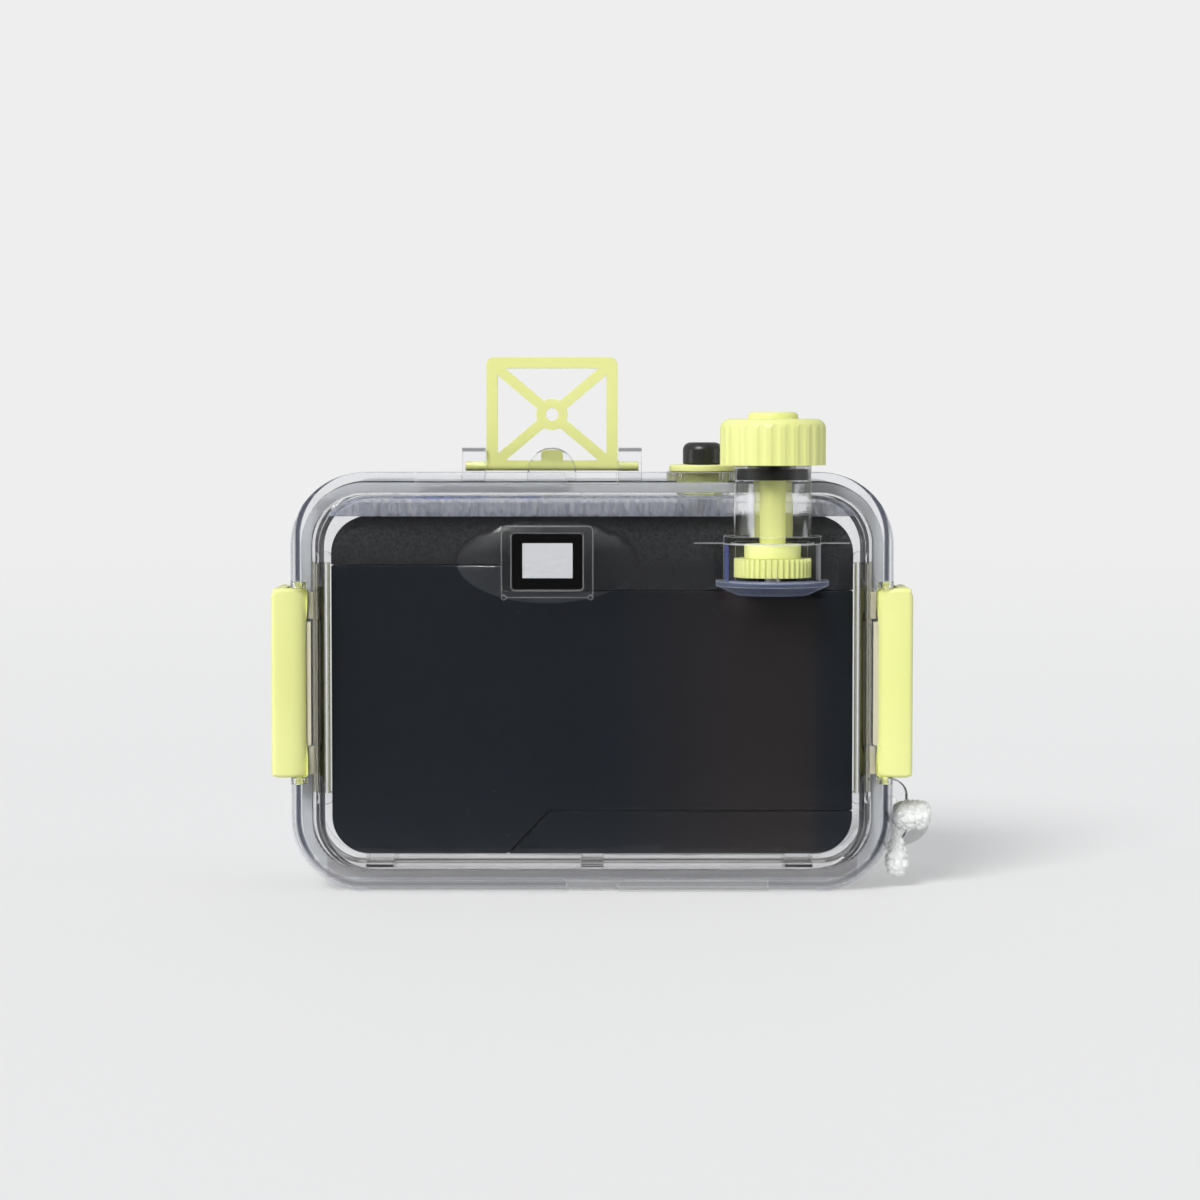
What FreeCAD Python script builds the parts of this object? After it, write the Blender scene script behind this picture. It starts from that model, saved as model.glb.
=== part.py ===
# Reusable 35 mm film camera in a clear waterproof housing, seen from behind.
# Millimetres. +X to the viewer's right, +Y towards the lens, +Z up.
# The origin is on the floor, under the middle of the plane where the two housing halves meet.
import math
import os

import FreeCAD
import Part

V = FreeCAD.Vector

# Camera inside
camera_width = 106.2
camera_height = 69.05
camera_depth = 25.5
camera_lift = 7.75
camera_set_back = 2.0
camera_corner = 7.7
camera_wall = 1.5
seam = 0.2
door_depth = 6.0
top_cover_height = 9.9
top_cover_drop = 5.2
drop_inset = 71.3
bottom_cover_height = 8.7
bottom_cover_left = -8.6
bottom_cover_slant = 8.4
bottom_plate = 2.4

# Housing halves, sized by the camera and the room round it
side_room = 8.3
top_room = 8.8
front_room = 6.9
corner_radius = 15.0
wall = 2.4
flange_lip = 1.9
front_flange_depth = 4.0
rear_flange_depth = 3.0
shell_edge_radius = 4.0
tray_rise = 3.5
tray_foot_inset = 4.4
tray_slope = 2.8
tray_steep_slope = 0.8
tray_plate = 2.2
spigot_depth = 3.0
spigot_wall = 1.5
part_gap = 0.3
run_gap = 0.06
overlap = 0.5

# Seal between the halves
seal_inset = 2.1
seal_width = 2.0
seal_depth = 1.5

# Keys on the flanges
key_width = 10.6
key_height = 2.4
key_raise = 0.6
key_bar_length = 30.6
key_bar_edge = 0.4
key_set_in = 1.0

# Lens port
lens_height = 32.25
port_radius = 19.0
port_clearance = 5.1

# Feet under the front half
foot_length = 14.0
foot_width = 6.0
foot_inset = 27.4
foot_set_back = 6.4

# Ribs that hold the camera in the front half
ledge_inset_left = 6.6
ledge_inset_right = 7.8
ledge_end_width = 5.6
ledge_middle_width = 4.5
ledge_y = 4.0
ledge_thickness = 1.6
ledge_block_length = 16.0
side_rib_up = 10.65
side_rib_down = 9.1
side_rib_y = 6.0
side_rib_thickness = 1.8
side_bump_radius = 1.5
camera_gap = 0.3
front_post_radius = 3.0
front_post_inset = 13.1
front_post_rise = 24.0

# Viewfinder
finder_x = -9.1
finder_drop = 9.2
window_width = 10.2
window_height = 7.1
oval_half_width = 18.6
oval_half_height = 8.6
oval_rise = 1.8
eyepiece_width = 14.6
eyepiece_height = 11.6
tunnel_wall = 1.2
hood_width = 18.5
hood_height = 14.4
hood_rise = 1.2
hood_corner = 1.0
hood_inner_corner = 0.8
pip_radius = 0.5
pip_stand = 0.3
finder_lens = 1.6
window_flare = 1.5

# Sports finder on top
sight_x = -8.3
sight_y = 8.0
sight_width = 27.0
sight_height = 22.35
sight_plate = 2.0
sight_bar = 2.3
sight_diagonal = 2.1
sight_ring_radius = 3.2
sight_hole_radius = 1.3
sight_corner = 1.6
hinge_radius = 0.95
hinge_rise = 1.15
ear_gap = 0.2
ear_width = 4.8
ear_depth = 5.0
ear_rise = 4.9
ear_wall = 0.7
ear_bevel = 0.8
stop_radius = 5.0
stop_plate = 1.6
stop_gap = 0.2
rim_bevel = 0.35
tab_width = 4.5
tab_rise = 2.15

# Shutter through the housing
shutter_inset = 30.3
shutter_y = 9.0
gland_flange_radius = 6.95
gland_flange = 1.4
gland_sleeve_radius = 5.4
gland_nose = 1.6
boss_rise = 1.9
boss_margin = 0.5
button_radius = 4.1
button_height = 4.5
button_dome = 1.6
button_clearance = 0.1
button_pocket = 4.0
button_socket = 2.0
plunger_radius = 1.5
plunger_gap = 0.05
shutter_seal_radius = 2.6
shutter_seal_height = 1.4
pusher_radius = 5.7
pusher_plate = 0.8
pusher_hub = 1.2
pusher_hub_wall = 1.1
pusher_floor = 0.4
pusher_room = 0.6
button_play = 0.2
spring_wire = 0.7
spring_radius = 2.8
spring_turns = 3
spring_gap = 0.02

# Advance drive in the rear half
knob_inset = 16.7
knob_stand = 2.0
knob_radius = 10.65
knob_height = 9.3
knob_shoulder = 2.0
knob_gap = 0.1
knob_bore_share = 0.7
crown_radius = 5.1
crown_height = 1.4
crown_round = 1.0
flute_count = 24
flute_radius = 2.0
flute_bite = 0.25
boss_radius = 7.8
boss_stand = 1.5
boss_reach = 3.9
shaft_radius = 2.5
shaft_gap = 0.05
knob_seal_radius = 7.2
knob_seal_height = 2.2
knob_seal_sink = 0.7
knob_seal_collar = 4.9
hub_radius = 5.7
hub_height = 2.9
chamber_roof = 1.6
wheel_tip_radius = 7.8
wheel_thickness = 3.8
wheel_teeth = 40
tooth_depth = 0.55
tooth_tip_share = 0.11
tooth_root_share = 0.27
chamber_radius = 9.9
chamber_wall = 1.5
chamber_lip_radius = 11.4
chamber_lip = 1.0
chamber_cone = 1.9
chamber_cone_radius = 7.2
roof_rib_reach = 16.2
roof_rib = 0.5
roof_rib_room = 0.8
screw_head_radius = 1.6
screw_head = 0.9
screw_radius = 0.8
screw_length = 6.0

# Film advance in the camera
thumb_offset = 4.2
thumb_teeth = 44
thumb_mesh = 0.28
thumb_step = 0.6
thumb_thickness = 3.0
thumb_hub = 1.5
thumb_room = 0.5
deck_inset = 33.8
spool_radius = 4.6
spool_flange_radius = 6.9
spool_flange = 1.0
spool_lift = 6.75
spool_core_slot = 1.2
spool_slot_end = 6.0
deck_gap = 0.6
deck_plate = 1.2

# Film chambers
gate_width = 36.0
gate_height = 24.0
chassis_gap = 0.4
chassis_back_room = 2.0
chassis_top_gap = 0.6
well_floor = 2.0
well_wall = 1.2
cartridge_inset = 16.6
cartridge_radius = 13.2
cartridge_depth = 13.0
well_gap = 1.0
sprocket_pitch = 16.4
sprocket_depth = 7.0
sprocket_radius = 5.0
sprocket_core_radius = 3.4
sprocket_shaft_radius = 1.7
sprocket_teeth = 8
sprocket_tooth = 0.9
sprocket_tooth_width = 1.2
sprocket_tooth_height = 1.4
sprocket_ring = 2.0
sprocket_ring_gap = 1.0
sprocket_end_gap = 0.1
bearing_depth = 0.8
pressure_width = 40.0
pressure_height = 33.0
pressure_thickness = 0.8
pressure_corner = 2.0
leaf_reach = 12.0
leaf_bow = 0.55
leaf_thickness = 0.25
leaf_height = 6.0
leaf_room = 0.8

# Lens and shutter
lens_x = 0.0
barrel_radius = 13.0
barrel_reach = 7.0
barrel_rim = 2.0
barrel_fit = 0.05
lens_seat = 4.5
front_lens_radius = 4.6
front_lens_edge = 0.9
front_lens_bulge = 0.7
front_lens_shelf = 2.6
rear_lens_radius = 3.4
rear_lens_edge = 0.7
rear_lens_bulge = 0.4
rear_lens_shelf = 0.1
rear_lens_seat = 1.4
stop_hole_radius = 2.16
blade_radius = 4.2
blade_thickness = 0.25
blade_clearance = 0.03
blade_pivot_x = 8.2
blade_eye_radius = 1.8
blade_arm_width = 2.6
blade_room = 1.3
blade_pin_radius = 0.8
blade_pin_length = 1.0

# Rewind and counter on the camera
rewind_radius = 7.4
rewind_depth = 1.6
rewind_rib = 2.0
rewind_pocket_radius = 2.9
rewind_pocket_offset = 4.3
rewind_pocket_depth = 1.0
fork_radius = 3.0
fork_reach = 7.0
fork_slot = 2.4
fork_slot_depth = 3.0
release_x = 12.0
release_depth = 14.0
release_radius = 2.2
release_head = 1.2
dial_radius = 6.2
dial_thickness = 0.8
dial_gap = 0.2
dial_pivot_radius = 1.5
dial_inset = 13.1
dial_set_back = 10.0
dial_window_offset = 3.6
dial_window_radius = 1.6
camera_button_radius = 6.2
camera_button_thickness = 1.8
camera_button_stand = 0.4
button_well_wall = 1.3
button_well_depth = 4.8
button_well_floor = 1.1

# Latches
latch_length = 38.6
latch_drop = -0.1
latch_gap = 0.8
latch_side = 2.9
latch_back = 1.8
latch_waist = 0.4
latch_waist_slope = 2.5
latch_end_length = 5.9
latch_plate = 2.2
latch_pivot_inset = 1.8
latch_pivot_stand = 2.0
latch_hook_gap = 0.8
latch_hook = 2.0
latch_hook_reach = 0.8
latch_hook_lead = 0.6
latch_hook_slope = 0.8
latch_tab = 3.0
latch_tab_thickness = 1.8
latch_round = 0.9
trunnion_radius = 0.75
trunnion_length = 1.2
trunnion_room = 0.3
lug_length = 1.2
lug_radius = 1.6
lug_gap = 0.1
pad_offset = 3.0
pad_width = 1.1
pad_rise = 0.9
pad_low_step = 0.6
pad_high_step = 0.4

# Strap
lug_below_latch = 1.6
lug_height = 13.3
lug_y = 7.0
lug_thickness = 3.0
lug_corner = 3.4
eye_floor = 2.6
eye_height = 7.0
eye_width = 2.2
eye_inset = 0.5
lug_bar = 2.2
cord_diameter = 2.6
knot_radius = 3.0
knot_overhang = 3.6
knot_lift = 2.5
knot_gap = 0.2
knot_room = 0.35
knot_end = 0.9
knot_raise = 1.2
knot_round = 2.2
tail_radius = 2.4
tail_neck = 1.0
tail_offset = 1.5
tail_bottom = 2.0
hank_run = 39.0
hank_loops = 2
hank_gap = 0.5
hank_inner = 7.8
hank_right = 41.0
hank_front_y = 50.0
tie_thickness = 0.6
tie_width = 4.0
tie_gap = 0.05

# Places that follow from these sizes
camera_half = camera_width / 2
camera_bottom = camera_lift
camera_top = camera_bottom + camera_height
camera_back_y = -camera_set_back
camera_front_y = camera_back_y + camera_depth
camera_inner_y = camera_back_y + camera_wall
housing_width = camera_width + 2 * side_room
housing_height = camera_top + top_room
half_width = housing_width / 2
shell_depth = camera_front_y + front_room
cavity_inset = flange_lip + wall
shell_top = housing_height - flange_lip
cavity_top = housing_height - cavity_inset
cavity_front = shell_depth - wall
tray_side_inset = tray_foot_inset + tray_slope
tray_end_inset = tray_foot_inset + tray_steep_slope
tray_outer_y = -rear_flange_depth - tray_rise
tray_inner_y = tray_outer_y + tray_plate
spigot_inset = cavity_inset + part_gap
tray_cavity_inset = spigot_inset + spigot_wall
lens_z = camera_bottom + lens_height
barrel_front_y = camera_front_y + barrel_reach
port_front = barrel_front_y + port_clearance + wall
ledge_left = ledge_inset_left - camera_half
ledge_right = camera_half - ledge_inset_right
side_rib_low = camera_bottom + side_rib_up
side_rib_high = camera_top - side_rib_down
front_post_x = camera_half - front_post_inset
foot_x = half_width - foot_inset
foot_y = shell_depth - foot_set_back
finder_z = camera_top - finder_drop
hinge_z = housing_height + hinge_rise
sight_top = hinge_z + sight_height
hinge_length = sight_width + 2 * (ear_gap + ear_width - ear_wall)
drop_x = camera_half - drop_inset
top_cover_low = camera_top - top_cover_height
door_top_right = top_cover_low - top_cover_drop
knob_x = camera_half - knob_inset
knob_y = tray_outer_y - knob_stand
boss_top = housing_height + boss_stand
boss_bottom = camera_top - boss_reach
knob_bottom = boss_top + knob_gap
knob_top = knob_bottom + knob_height
knob_bore_top = knob_bottom + knob_bore_share * knob_height
knob_seal_top = boss_top - knob_seal_sink
hub_top = boss_bottom - chamber_roof
hub_bottom = hub_top - hub_height
wheel_bottom = hub_bottom - wheel_thickness
chamber_floor = wheel_bottom - screw_head - part_gap
pitch_radius = wheel_tip_radius - tooth_depth / 2
thumb_x = knob_x + thumb_offset
thumb_tip_radius = pitch_radius * thumb_teeth / wheel_teeth + tooth_depth / 2
drive_distance = wheel_tip_radius + thumb_tip_radius - thumb_mesh
thumb_y = knob_y + math.sqrt(drive_distance ** 2 - thumb_offset ** 2)
thumb_bottom = wheel_bottom + thumb_step
thumb_top = thumb_bottom + thumb_thickness
spool_bottom = camera_bottom + spool_lift
spool_top = thumb_bottom - thumb_hub
cartridge_x = cartridge_inset - camera_half
cartridge_y = camera_back_y + cartridge_depth
sprocket_x = thumb_x - sprocket_pitch
sprocket_y = camera_back_y + sprocket_depth
release_y = camera_back_y + release_depth
dial_x = camera_half - dial_inset
dial_y = camera_front_y - dial_set_back
shutter_x = camera_half - shutter_inset
gland_top = shell_top + boss_rise + gland_flange
gland_nose_z = cavity_top - gland_nose
button_low = gland_top + button_clearance
button_top = button_low + button_height
camera_button_top = camera_top + camera_button_stand
pusher_low = camera_button_top + button_play
pusher_top = pusher_low + pusher_plate
latch_middle = housing_height / 2 - latch_drop
latch_low = latch_middle - latch_length / 2
latch_high = latch_middle + latch_length / 2
latch_side_inner = half_width + latch_gap
latch_outer = latch_side_inner + latch_side
latch_pivot_x = half_width - latch_pivot_inset
latch_pivot_y = -rear_flange_depth - latch_pivot_stand
latch_inner = latch_pivot_x - latch_back
pad_inner = latch_pivot_x - pad_offset
lug_top = latch_low - lug_below_latch
lug_bottom = lug_top - lug_height
eye_low = lug_bottom + eye_floor
eye_left = half_width - eye_inset
eye_right = eye_left + eye_width
lug_reach = eye_right + lug_bar
knot_right = lug_reach + knot_overhang
knot_z = eye_low + knot_lift
cord_floor = tie_thickness + tie_gap + cord_diameter / 2


def box(x0, x1, y0, y1, z0, z1):
    return Part.makeBox(x1 - x0, y1 - y0, z1 - z0, V(x0, y0, z0))


def post(x, y, z0, z1, radius):
    return Part.makeCylinder(radius, z1 - z0, V(x, y, z0), V(0, 0, 1))


def bar(x0, x1, y, z, radius):
    return Part.makeCylinder(radius, x1 - x0, V(x0, y, z), V(1, 0, 0))


def drum(x, z, y0, y1, radius):
    return Part.makeCylinder(radius, y1 - y0, V(x, y0, z), V(0, 1, 0))


def rounded_wire(x0, x1, z0, z1, radius, y):
    """A rectangle with round corners, in a plane square to Y."""
    slant = radius * (1 - math.sqrt(0.5))
    corners = (
        (V(x1 - radius, y, z0), V(x1 - slant, y, z0 + slant), V(x1, y, z0 + radius)),
        (V(x1, y, z1 - radius), V(x1 - slant, y, z1 - slant), V(x1 - radius, y, z1)),
        (V(x0 + radius, y, z1), V(x0 + slant, y, z1 - slant), V(x0, y, z1 - radius)),
        (V(x0, y, z0 + radius), V(x0 + slant, y, z0 + slant), V(x0 + radius, y, z0)),
    )
    edges = []
    for k, (start, middle, end) in enumerate(corners):
        edges.append(Part.Arc(start, middle, end).toShape())
        edges.append(Part.LineSegment(end, corners[(k + 1) % 4][0]).toShape())
    return Part.Wire(edges)


def rounded_block(x0, x1, z0, z1, radius, y0, y1):
    return Part.Face(rounded_wire(x0, x1, z0, z1, radius, y0)).extrude(V(0, y1 - y0, 0))


def housing_wire(inset, y):
    """The housing's outline, drawn in all round by inset."""
    return rounded_wire(
        inset - half_width, half_width - inset, inset, housing_height - inset, corner_radius - inset, y
    )


def housing_block(inset, y0, y1):
    return Part.Face(housing_wire(inset, y0)).extrude(V(0, y1 - y0, 0))


def camera_block(inset, y0, y1, z0=None, z1=None):
    """A slice of the camera body, cut to a band of heights where one is given."""
    block = rounded_block(
        inset - camera_half, camera_half - inset, camera_bottom + inset, camera_top - inset,
        camera_corner - inset, y0, y1,
    )
    if z0 is None:
        return block
    return block.common(box(-half_width, half_width, y0, y1, z0, z1))


def top_edges(shape, z):
    return [edge for edge in shape.Edges if abs(edge.BoundBox.ZMin - z) < 0.01]


def far_top_edges(block):
    """The upper edge of a block's far face."""
    bounds = block.BoundBox
    far = edges_in_plane(block, bounds.YMax)
    return [edge for edge in far if edge.BoundBox.ZMin > bounds.ZMax - 0.01]


def edges_in_plane(shape, y):
    found = []
    for edge in shape.Edges:
        bounds = edge.BoundBox
        if abs(bounds.YMin - y) < 0.01 and abs(bounds.YMax - y) < 0.01:
            found.append(edge)
    return found


def one(shape):
    """The single solid of a shape, with its seams merged."""
    clean = shape.removeSplitter()
    if len(clean.Solids) != 1:
        raise ValueError("expected one solid, found %d" % len(clean.Solids))
    return clean.Solids[0]


def half_turned(shape):
    """A copy turned half round the housing's middle, as seen from behind."""
    copy = shape.copy()
    copy.rotate(V(0, 0, housing_height / 2), V(0, 1, 0), 180)
    return copy


def mirrored(shape):
    return shape.mirror(V(0, 0, 0), V(1, 0, 0))


def key_notch(y0, y1, gap):
    left = -key_width / 2 - gap
    return box(left, -left, y0, y1, housing_height - key_height - gap, housing_height + overlap)


def seal_ring(y0, y1):
    outer = housing_block(seal_inset, y0, y1)
    return outer.cut(housing_block(seal_inset + seal_width, y0, y1))


def camera_ledges():
    """Ribs above and below the camera, with deeper blocks at their ends and middle."""
    parts = []
    bands = (
        (cavity_inset - overlap, camera_bottom - camera_gap),
        (camera_top + camera_gap, cavity_top + overlap),
    )
    blocks = (
        (ledge_left, ledge_end_width),
        (-ledge_middle_width / 2, ledge_middle_width),
        (ledge_right - ledge_end_width, ledge_end_width),
    )
    for low, high in bands:
        parts.append(box(ledge_left, ledge_right, ledge_y, ledge_y + ledge_thickness, low, high))
        for x, width in blocks:
            parts.append(box(x, x + width, ledge_y, ledge_y + ledge_block_length, low, high))
    return parts


def side_rib():
    inner = camera_half + camera_gap
    front = side_rib_y + side_rib_thickness
    rib = box(inner + side_bump_radius / 2, half_width - cavity_inset + overlap, side_rib_y, front,
              side_rib_low, side_rib_high)
    for z in (side_rib_low, side_rib_high):
        rib = rib.fuse(drum(inner + side_bump_radius, z, side_rib_y, front, side_bump_radius))
    return rib


def front_posts():
    """Pads on the front wall that the camera's front rests against."""
    parts = []
    for x in (-front_post_x, front_post_x):
        for z in (lens_z - front_post_rise, lens_z + front_post_rise):
            parts.append(drum(x, z, camera_front_y + camera_gap, cavity_front + overlap, front_post_radius))
    return parts


def sight_ears():
    left = sight_x - hinge_length / 2 - ear_wall
    right = sight_x + hinge_length / 2 + ear_wall
    ears = []
    for x in (left, right - ear_width):
        ear = box(x, x + ear_width, sight_y - ear_depth / 2, sight_y + ear_depth / 2,
                  shell_top - overlap, housing_height + ear_rise)
        ears.append(ear.makeChamfer(ear_bevel, far_top_edges(ear)))
    return ears


def sight_stop():
    y1 = sight_y - sight_plate / 2 - stop_gap
    y0 = y1 - stop_plate
    left = sight_x - stop_radius
    right = sight_x + stop_radius
    disc = drum(sight_x, housing_height, y0, y1, stop_radius)
    upper = disc.common(box(left, right, y0, y1, housing_height, housing_height + stop_radius))
    rim = [edge for edge in edges_in_plane(upper, y1) if edge.BoundBox.ZLength > rim_bevel]
    upper = upper.makeChamfer(rim_bevel, rim)
    return upper.fuse(box(left, right, y0, y1, shell_top - overlap, housing_height))


def strap_lug():
    root = half_width - flange_lip - overlap
    front = lug_y + lug_thickness
    lug = rounded_block(root - lug_corner, lug_reach, lug_bottom, lug_top, lug_corner, lug_y, front)
    lug = lug.makeChamfer(rim_bevel, edges_in_plane(lug, front))
    lug = lug.common(box(root, lug_reach, lug_y, front, lug_bottom, lug_top))
    eye = rounded_block(eye_left, eye_right, eye_low, eye_low + eye_height, 0.49 * eye_width, lug_y, front)
    return lug.cut(eye)


def feet():
    parts = []
    for side in (-1, 1):
        x = side * foot_x
        parts.append(box(x - foot_length / 2, x + foot_length / 2, foot_y - foot_width / 2,
                         foot_y + foot_width / 2, 0, flange_lip + overlap))
    return parts


def front_shell():
    """Deep clear half: tub, flange, lens port, ears, strap lug and the ribs that hold the camera."""
    tub = housing_block(flange_lip, 0, shell_depth)
    tub = tub.makeFillet(shell_edge_radius, edges_in_plane(tub, shell_depth))
    port = drum(lens_x, lens_z, cavity_front, port_front, port_radius)
    solid = tub.fuse([housing_block(0, 0, front_flange_depth), port])
    boss_side = gland_flange_radius + boss_margin
    boss = post(shutter_x, shutter_y, shell_top - overlap, shell_top + boss_rise, boss_side)
    solid = solid.fuse([boss, strap_lug(), sight_stop()] + sight_ears() + feet())
    cavity = housing_block(cavity_inset, 0, cavity_front)
    cavity = cavity.makeFillet(shell_edge_radius - wall, edges_in_plane(cavity, cavity_front))
    port_bore = drum(lens_x, lens_z, cavity_front - overlap, port_front - wall, port_radius - wall)
    solid = solid.cut(cavity).cut(port_bore)
    solid = solid.fuse(camera_ledges() + [side_rib(), mirrored(side_rib())] + front_posts())
    solid = solid.cut(post(shutter_x, shutter_y, camera_top, cavity_top, pusher_radius + pusher_room))
    key_back = key_set_in - rear_flange_depth
    key = key_notch(key_back, 0, -part_gap).common(housing_block(0, key_back, 0))
    solid = solid.fuse([key, half_turned(key)])
    solid = solid.cut(post(shutter_x, shutter_y, cavity_top - overlap, gland_top, gland_sleeve_radius))
    hinge = bar(sight_x - hinge_length / 2 - run_gap, sight_x + hinge_length / 2 + run_gap,
                sight_y, hinge_z, hinge_radius + run_gap)
    return one(solid.cut(hinge))


def latch_lugs():
    """Eyes and pads on the rear half that carry the right-hand latch."""
    parts = []
    foot = overlap - rear_flange_depth
    for z in (latch_high + lug_gap, latch_low - lug_gap - lug_length):
        eye = post(latch_pivot_x, latch_pivot_y, z, z + lug_length, lug_radius)
        web = box(latch_pivot_x - lug_radius, latch_pivot_x + lug_radius, latch_pivot_y, foot,
                  z, z + lug_length)
        parts.append(eye.fuse(web))
    for z in (latch_low + pad_low_step, latch_high - pad_high_step - latch_end_length):
        parts.append(box(pad_inner, pad_inner + pad_width, -rear_flange_depth - pad_rise, foot,
                         z, z + latch_end_length))
    return parts


def trunnion_holes():
    reach = trunnion_length + trunnion_room
    radius = trunnion_radius + run_gap
    return post(latch_pivot_x, latch_pivot_y, latch_low - reach, latch_high + reach, radius)


def chamber_outside():
    lip_low = chamber_floor - chamber_lip / 2
    wall_part = post(knob_x, knob_y, chamber_floor, boss_bottom, chamber_radius)
    lip = post(knob_x, knob_y, lip_low, lip_low + chamber_lip, chamber_lip_radius)
    cone = Part.makeCone(chamber_cone_radius, chamber_lip_radius, chamber_cone,
                         V(knob_x, knob_y, lip_low - chamber_cone), V(0, 0, 1))
    boss = post(knob_x, knob_y, boss_bottom - overlap, boss_top, boss_radius)
    return wall_part.fuse([lip, cone, boss])


def finder_block(width, height, corner, y0, y1):
    """A round-cornered block centred on the viewfinder."""
    return rounded_block(finder_x - width / 2, finder_x + width / 2, finder_z - height / 2,
                         finder_z + height / 2, corner, y0, y1)


def tray_face():
    """Outline of the tray's flat face: well in from the flange at the sides, close to it above and below."""
    side = half_width - tray_side_inset
    return rounded_wire(-side, side, tray_end_inset, housing_height - tray_end_inset,
                        corner_radius - tray_end_inset, tray_outer_y)


def hood_pips():
    """Small round bosses at the hood's lower corners."""
    pips = []
    for side in (-1, 1):
        x = finder_x + side * (hood_width / 2 - pip_radius)
        z = finder_z - hood_height / 2
        pips.append(drum(x, z, tray_outer_y - hood_rise - pip_stand, tray_outer_y + overlap, pip_radius))
    return pips


def rear_cover():
    """Shallow clear half: flange, raised tray, window hood, knob boss and gear chamber."""
    flange = housing_block(0, -rear_flange_depth, 0)
    tray_foot = housing_wire(tray_foot_inset, overlap - rear_flange_depth)
    tray = Part.makeLoft([tray_foot, tray_face()], True, True)
    spigot = housing_block(spigot_inset, -overlap, spigot_depth)
    hood = finder_block(hood_width, hood_height, hood_corner, tray_outer_y - hood_rise,
                        tray_outer_y + overlap)
    hood = hood.cut(finder_block(eyepiece_width, eyepiece_height, hood_inner_corner,
                                 tray_outer_y - hood_rise, tray_outer_y))
    bar_left = -key_width / 2 - key_bar_length
    key_bar = box(bar_left, -key_width / 2, -rear_flange_depth - key_raise, overlap - rear_flange_depth,
                  housing_height - key_height, housing_height - key_bar_edge)
    solid = flange.fuse([tray, spigot, hood, key_bar, half_turned(key_bar)] + hood_pips())
    inside = chamber_outside()
    knob_back = knob_y - chamber_lip_radius
    outside_only = inside.common(box(0, half_width, knob_back, tray_inner_y, 0, boss_top))
    upper = inside.common(box(0, half_width, tray_inner_y, 0, housing_height - tray_cavity_inset, boss_top))
    roof_rib_part = box(knob_x - roof_rib_reach, knob_x + chamber_lip_radius, tray_inner_y - overlap,
                        camera_back_y - roof_rib_room, boss_bottom - roof_rib, boss_bottom)
    solid = solid.fuse([outside_only, upper, roof_rib_part])
    lugs = latch_lugs()
    solid = solid.fuse(lugs + [mirrored(lug) for lug in lugs])
    solid = solid.cut(housing_block(tray_cavity_inset, tray_inner_y, spigot_depth))
    wheel_room = post(knob_x, knob_y, chamber_floor, hub_top + part_gap, chamber_radius - chamber_wall)
    bore = post(knob_x, knob_y, hub_top, boss_top, shaft_radius + shaft_gap)
    seal_seat = post(knob_x, knob_y, knob_seal_top - knob_seal_height, boss_top, knob_seal_radius)
    solid = solid.cut([wheel_room, bore, seal_seat])
    notch = key_notch(tray_outer_y, 0, 0)
    solid = solid.cut([seal_ring(-seal_depth, 0), notch, half_turned(notch)])
    holes = trunnion_holes()
    return one(solid.cut([holes, mirrored(holes)]))


def main_seal():
    return one(seal_ring(-seal_depth, 0))


def latch_waist_cut(y0, y1):
    """The shallow hollow along the latch's inner edge, with sloping ends."""
    low = latch_low + latch_end_length
    high = latch_high - latch_end_length
    depth = latch_inner + latch_waist
    points = [
        V(latch_inner, y0, low - latch_waist_slope), V(depth, y0, low + latch_waist_slope),
        V(depth, y0, high - latch_waist_slope), V(latch_inner, y0, high + latch_waist_slope),
    ]
    return Part.Face(Part.makePolygon(points + points[:1])).extrude(V(0, y1 - y0, 0))


def latch_right():
    """Yellow latch: swings on the rear half and hooks in front of the front half's flange."""
    back = latch_pivot_y - latch_plate / 2
    inner_back = latch_pivot_y + latch_plate / 2
    hook_back = front_flange_depth + latch_hook_gap
    hook_front = hook_back + latch_hook
    tip = half_width - latch_hook_reach
    end = latch_plate / 2
    points = [
        V(latch_inner + end, inner_back, latch_low), V(latch_side_inner, inner_back, latch_low),
        V(latch_side_inner, hook_back, latch_low), V(tip, hook_back, latch_low),
        V(tip, hook_front - latch_hook_lead, latch_low), V(tip + latch_hook_slope, hook_front, latch_low),
        V(latch_outer - latch_tab_thickness, hook_front, latch_low),
        V(latch_outer - latch_tab_thickness, hook_front + latch_tab, latch_low),
        V(latch_outer, hook_front + latch_tab, latch_low), V(latch_outer, back, latch_low),
        V(latch_inner + end, back, latch_low),
    ]
    edges = [Part.LineSegment(a, b).toShape() for a, b in zip(points, points[1:])]
    edges.append(Part.Arc(points[-1], V(latch_inner, latch_pivot_y, latch_low), points[0]).toShape())
    body = Part.Face(Part.Wire(edges)).extrude(V(0, 0, latch_high - latch_low))
    rounded = []
    for edge in body.Edges:
        bounds = edge.BoundBox
        outside = abs(bounds.XMin - latch_outer) < 0.01 and bounds.YLength < 0.01
        end_edge = abs(bounds.YMin - back) < 0.01 and bounds.YLength < 0.01 and bounds.ZLength < 0.01
        if outside or end_edge:
            rounded.append(edge)
    body = body.makeFillet(latch_round, rounded)
    body = body.cut(latch_waist_cut(back, inner_back))
    pin = post(latch_pivot_x, latch_pivot_y, latch_low - trunnion_length, latch_high + trunnion_length,
               trunnion_radius)
    return one(body.fuse(pin))


def latch_left():
    return mirrored(latch_right())


def upper_y_edges(block, z):
    """The edges of a block that run along Y at height z."""
    found = []
    for edge in top_edges(block, z):
        if edge.BoundBox.YLength > 0.01 and edge.BoundBox.XLength < 0.01:
            found.append(edge)
    return found


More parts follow.
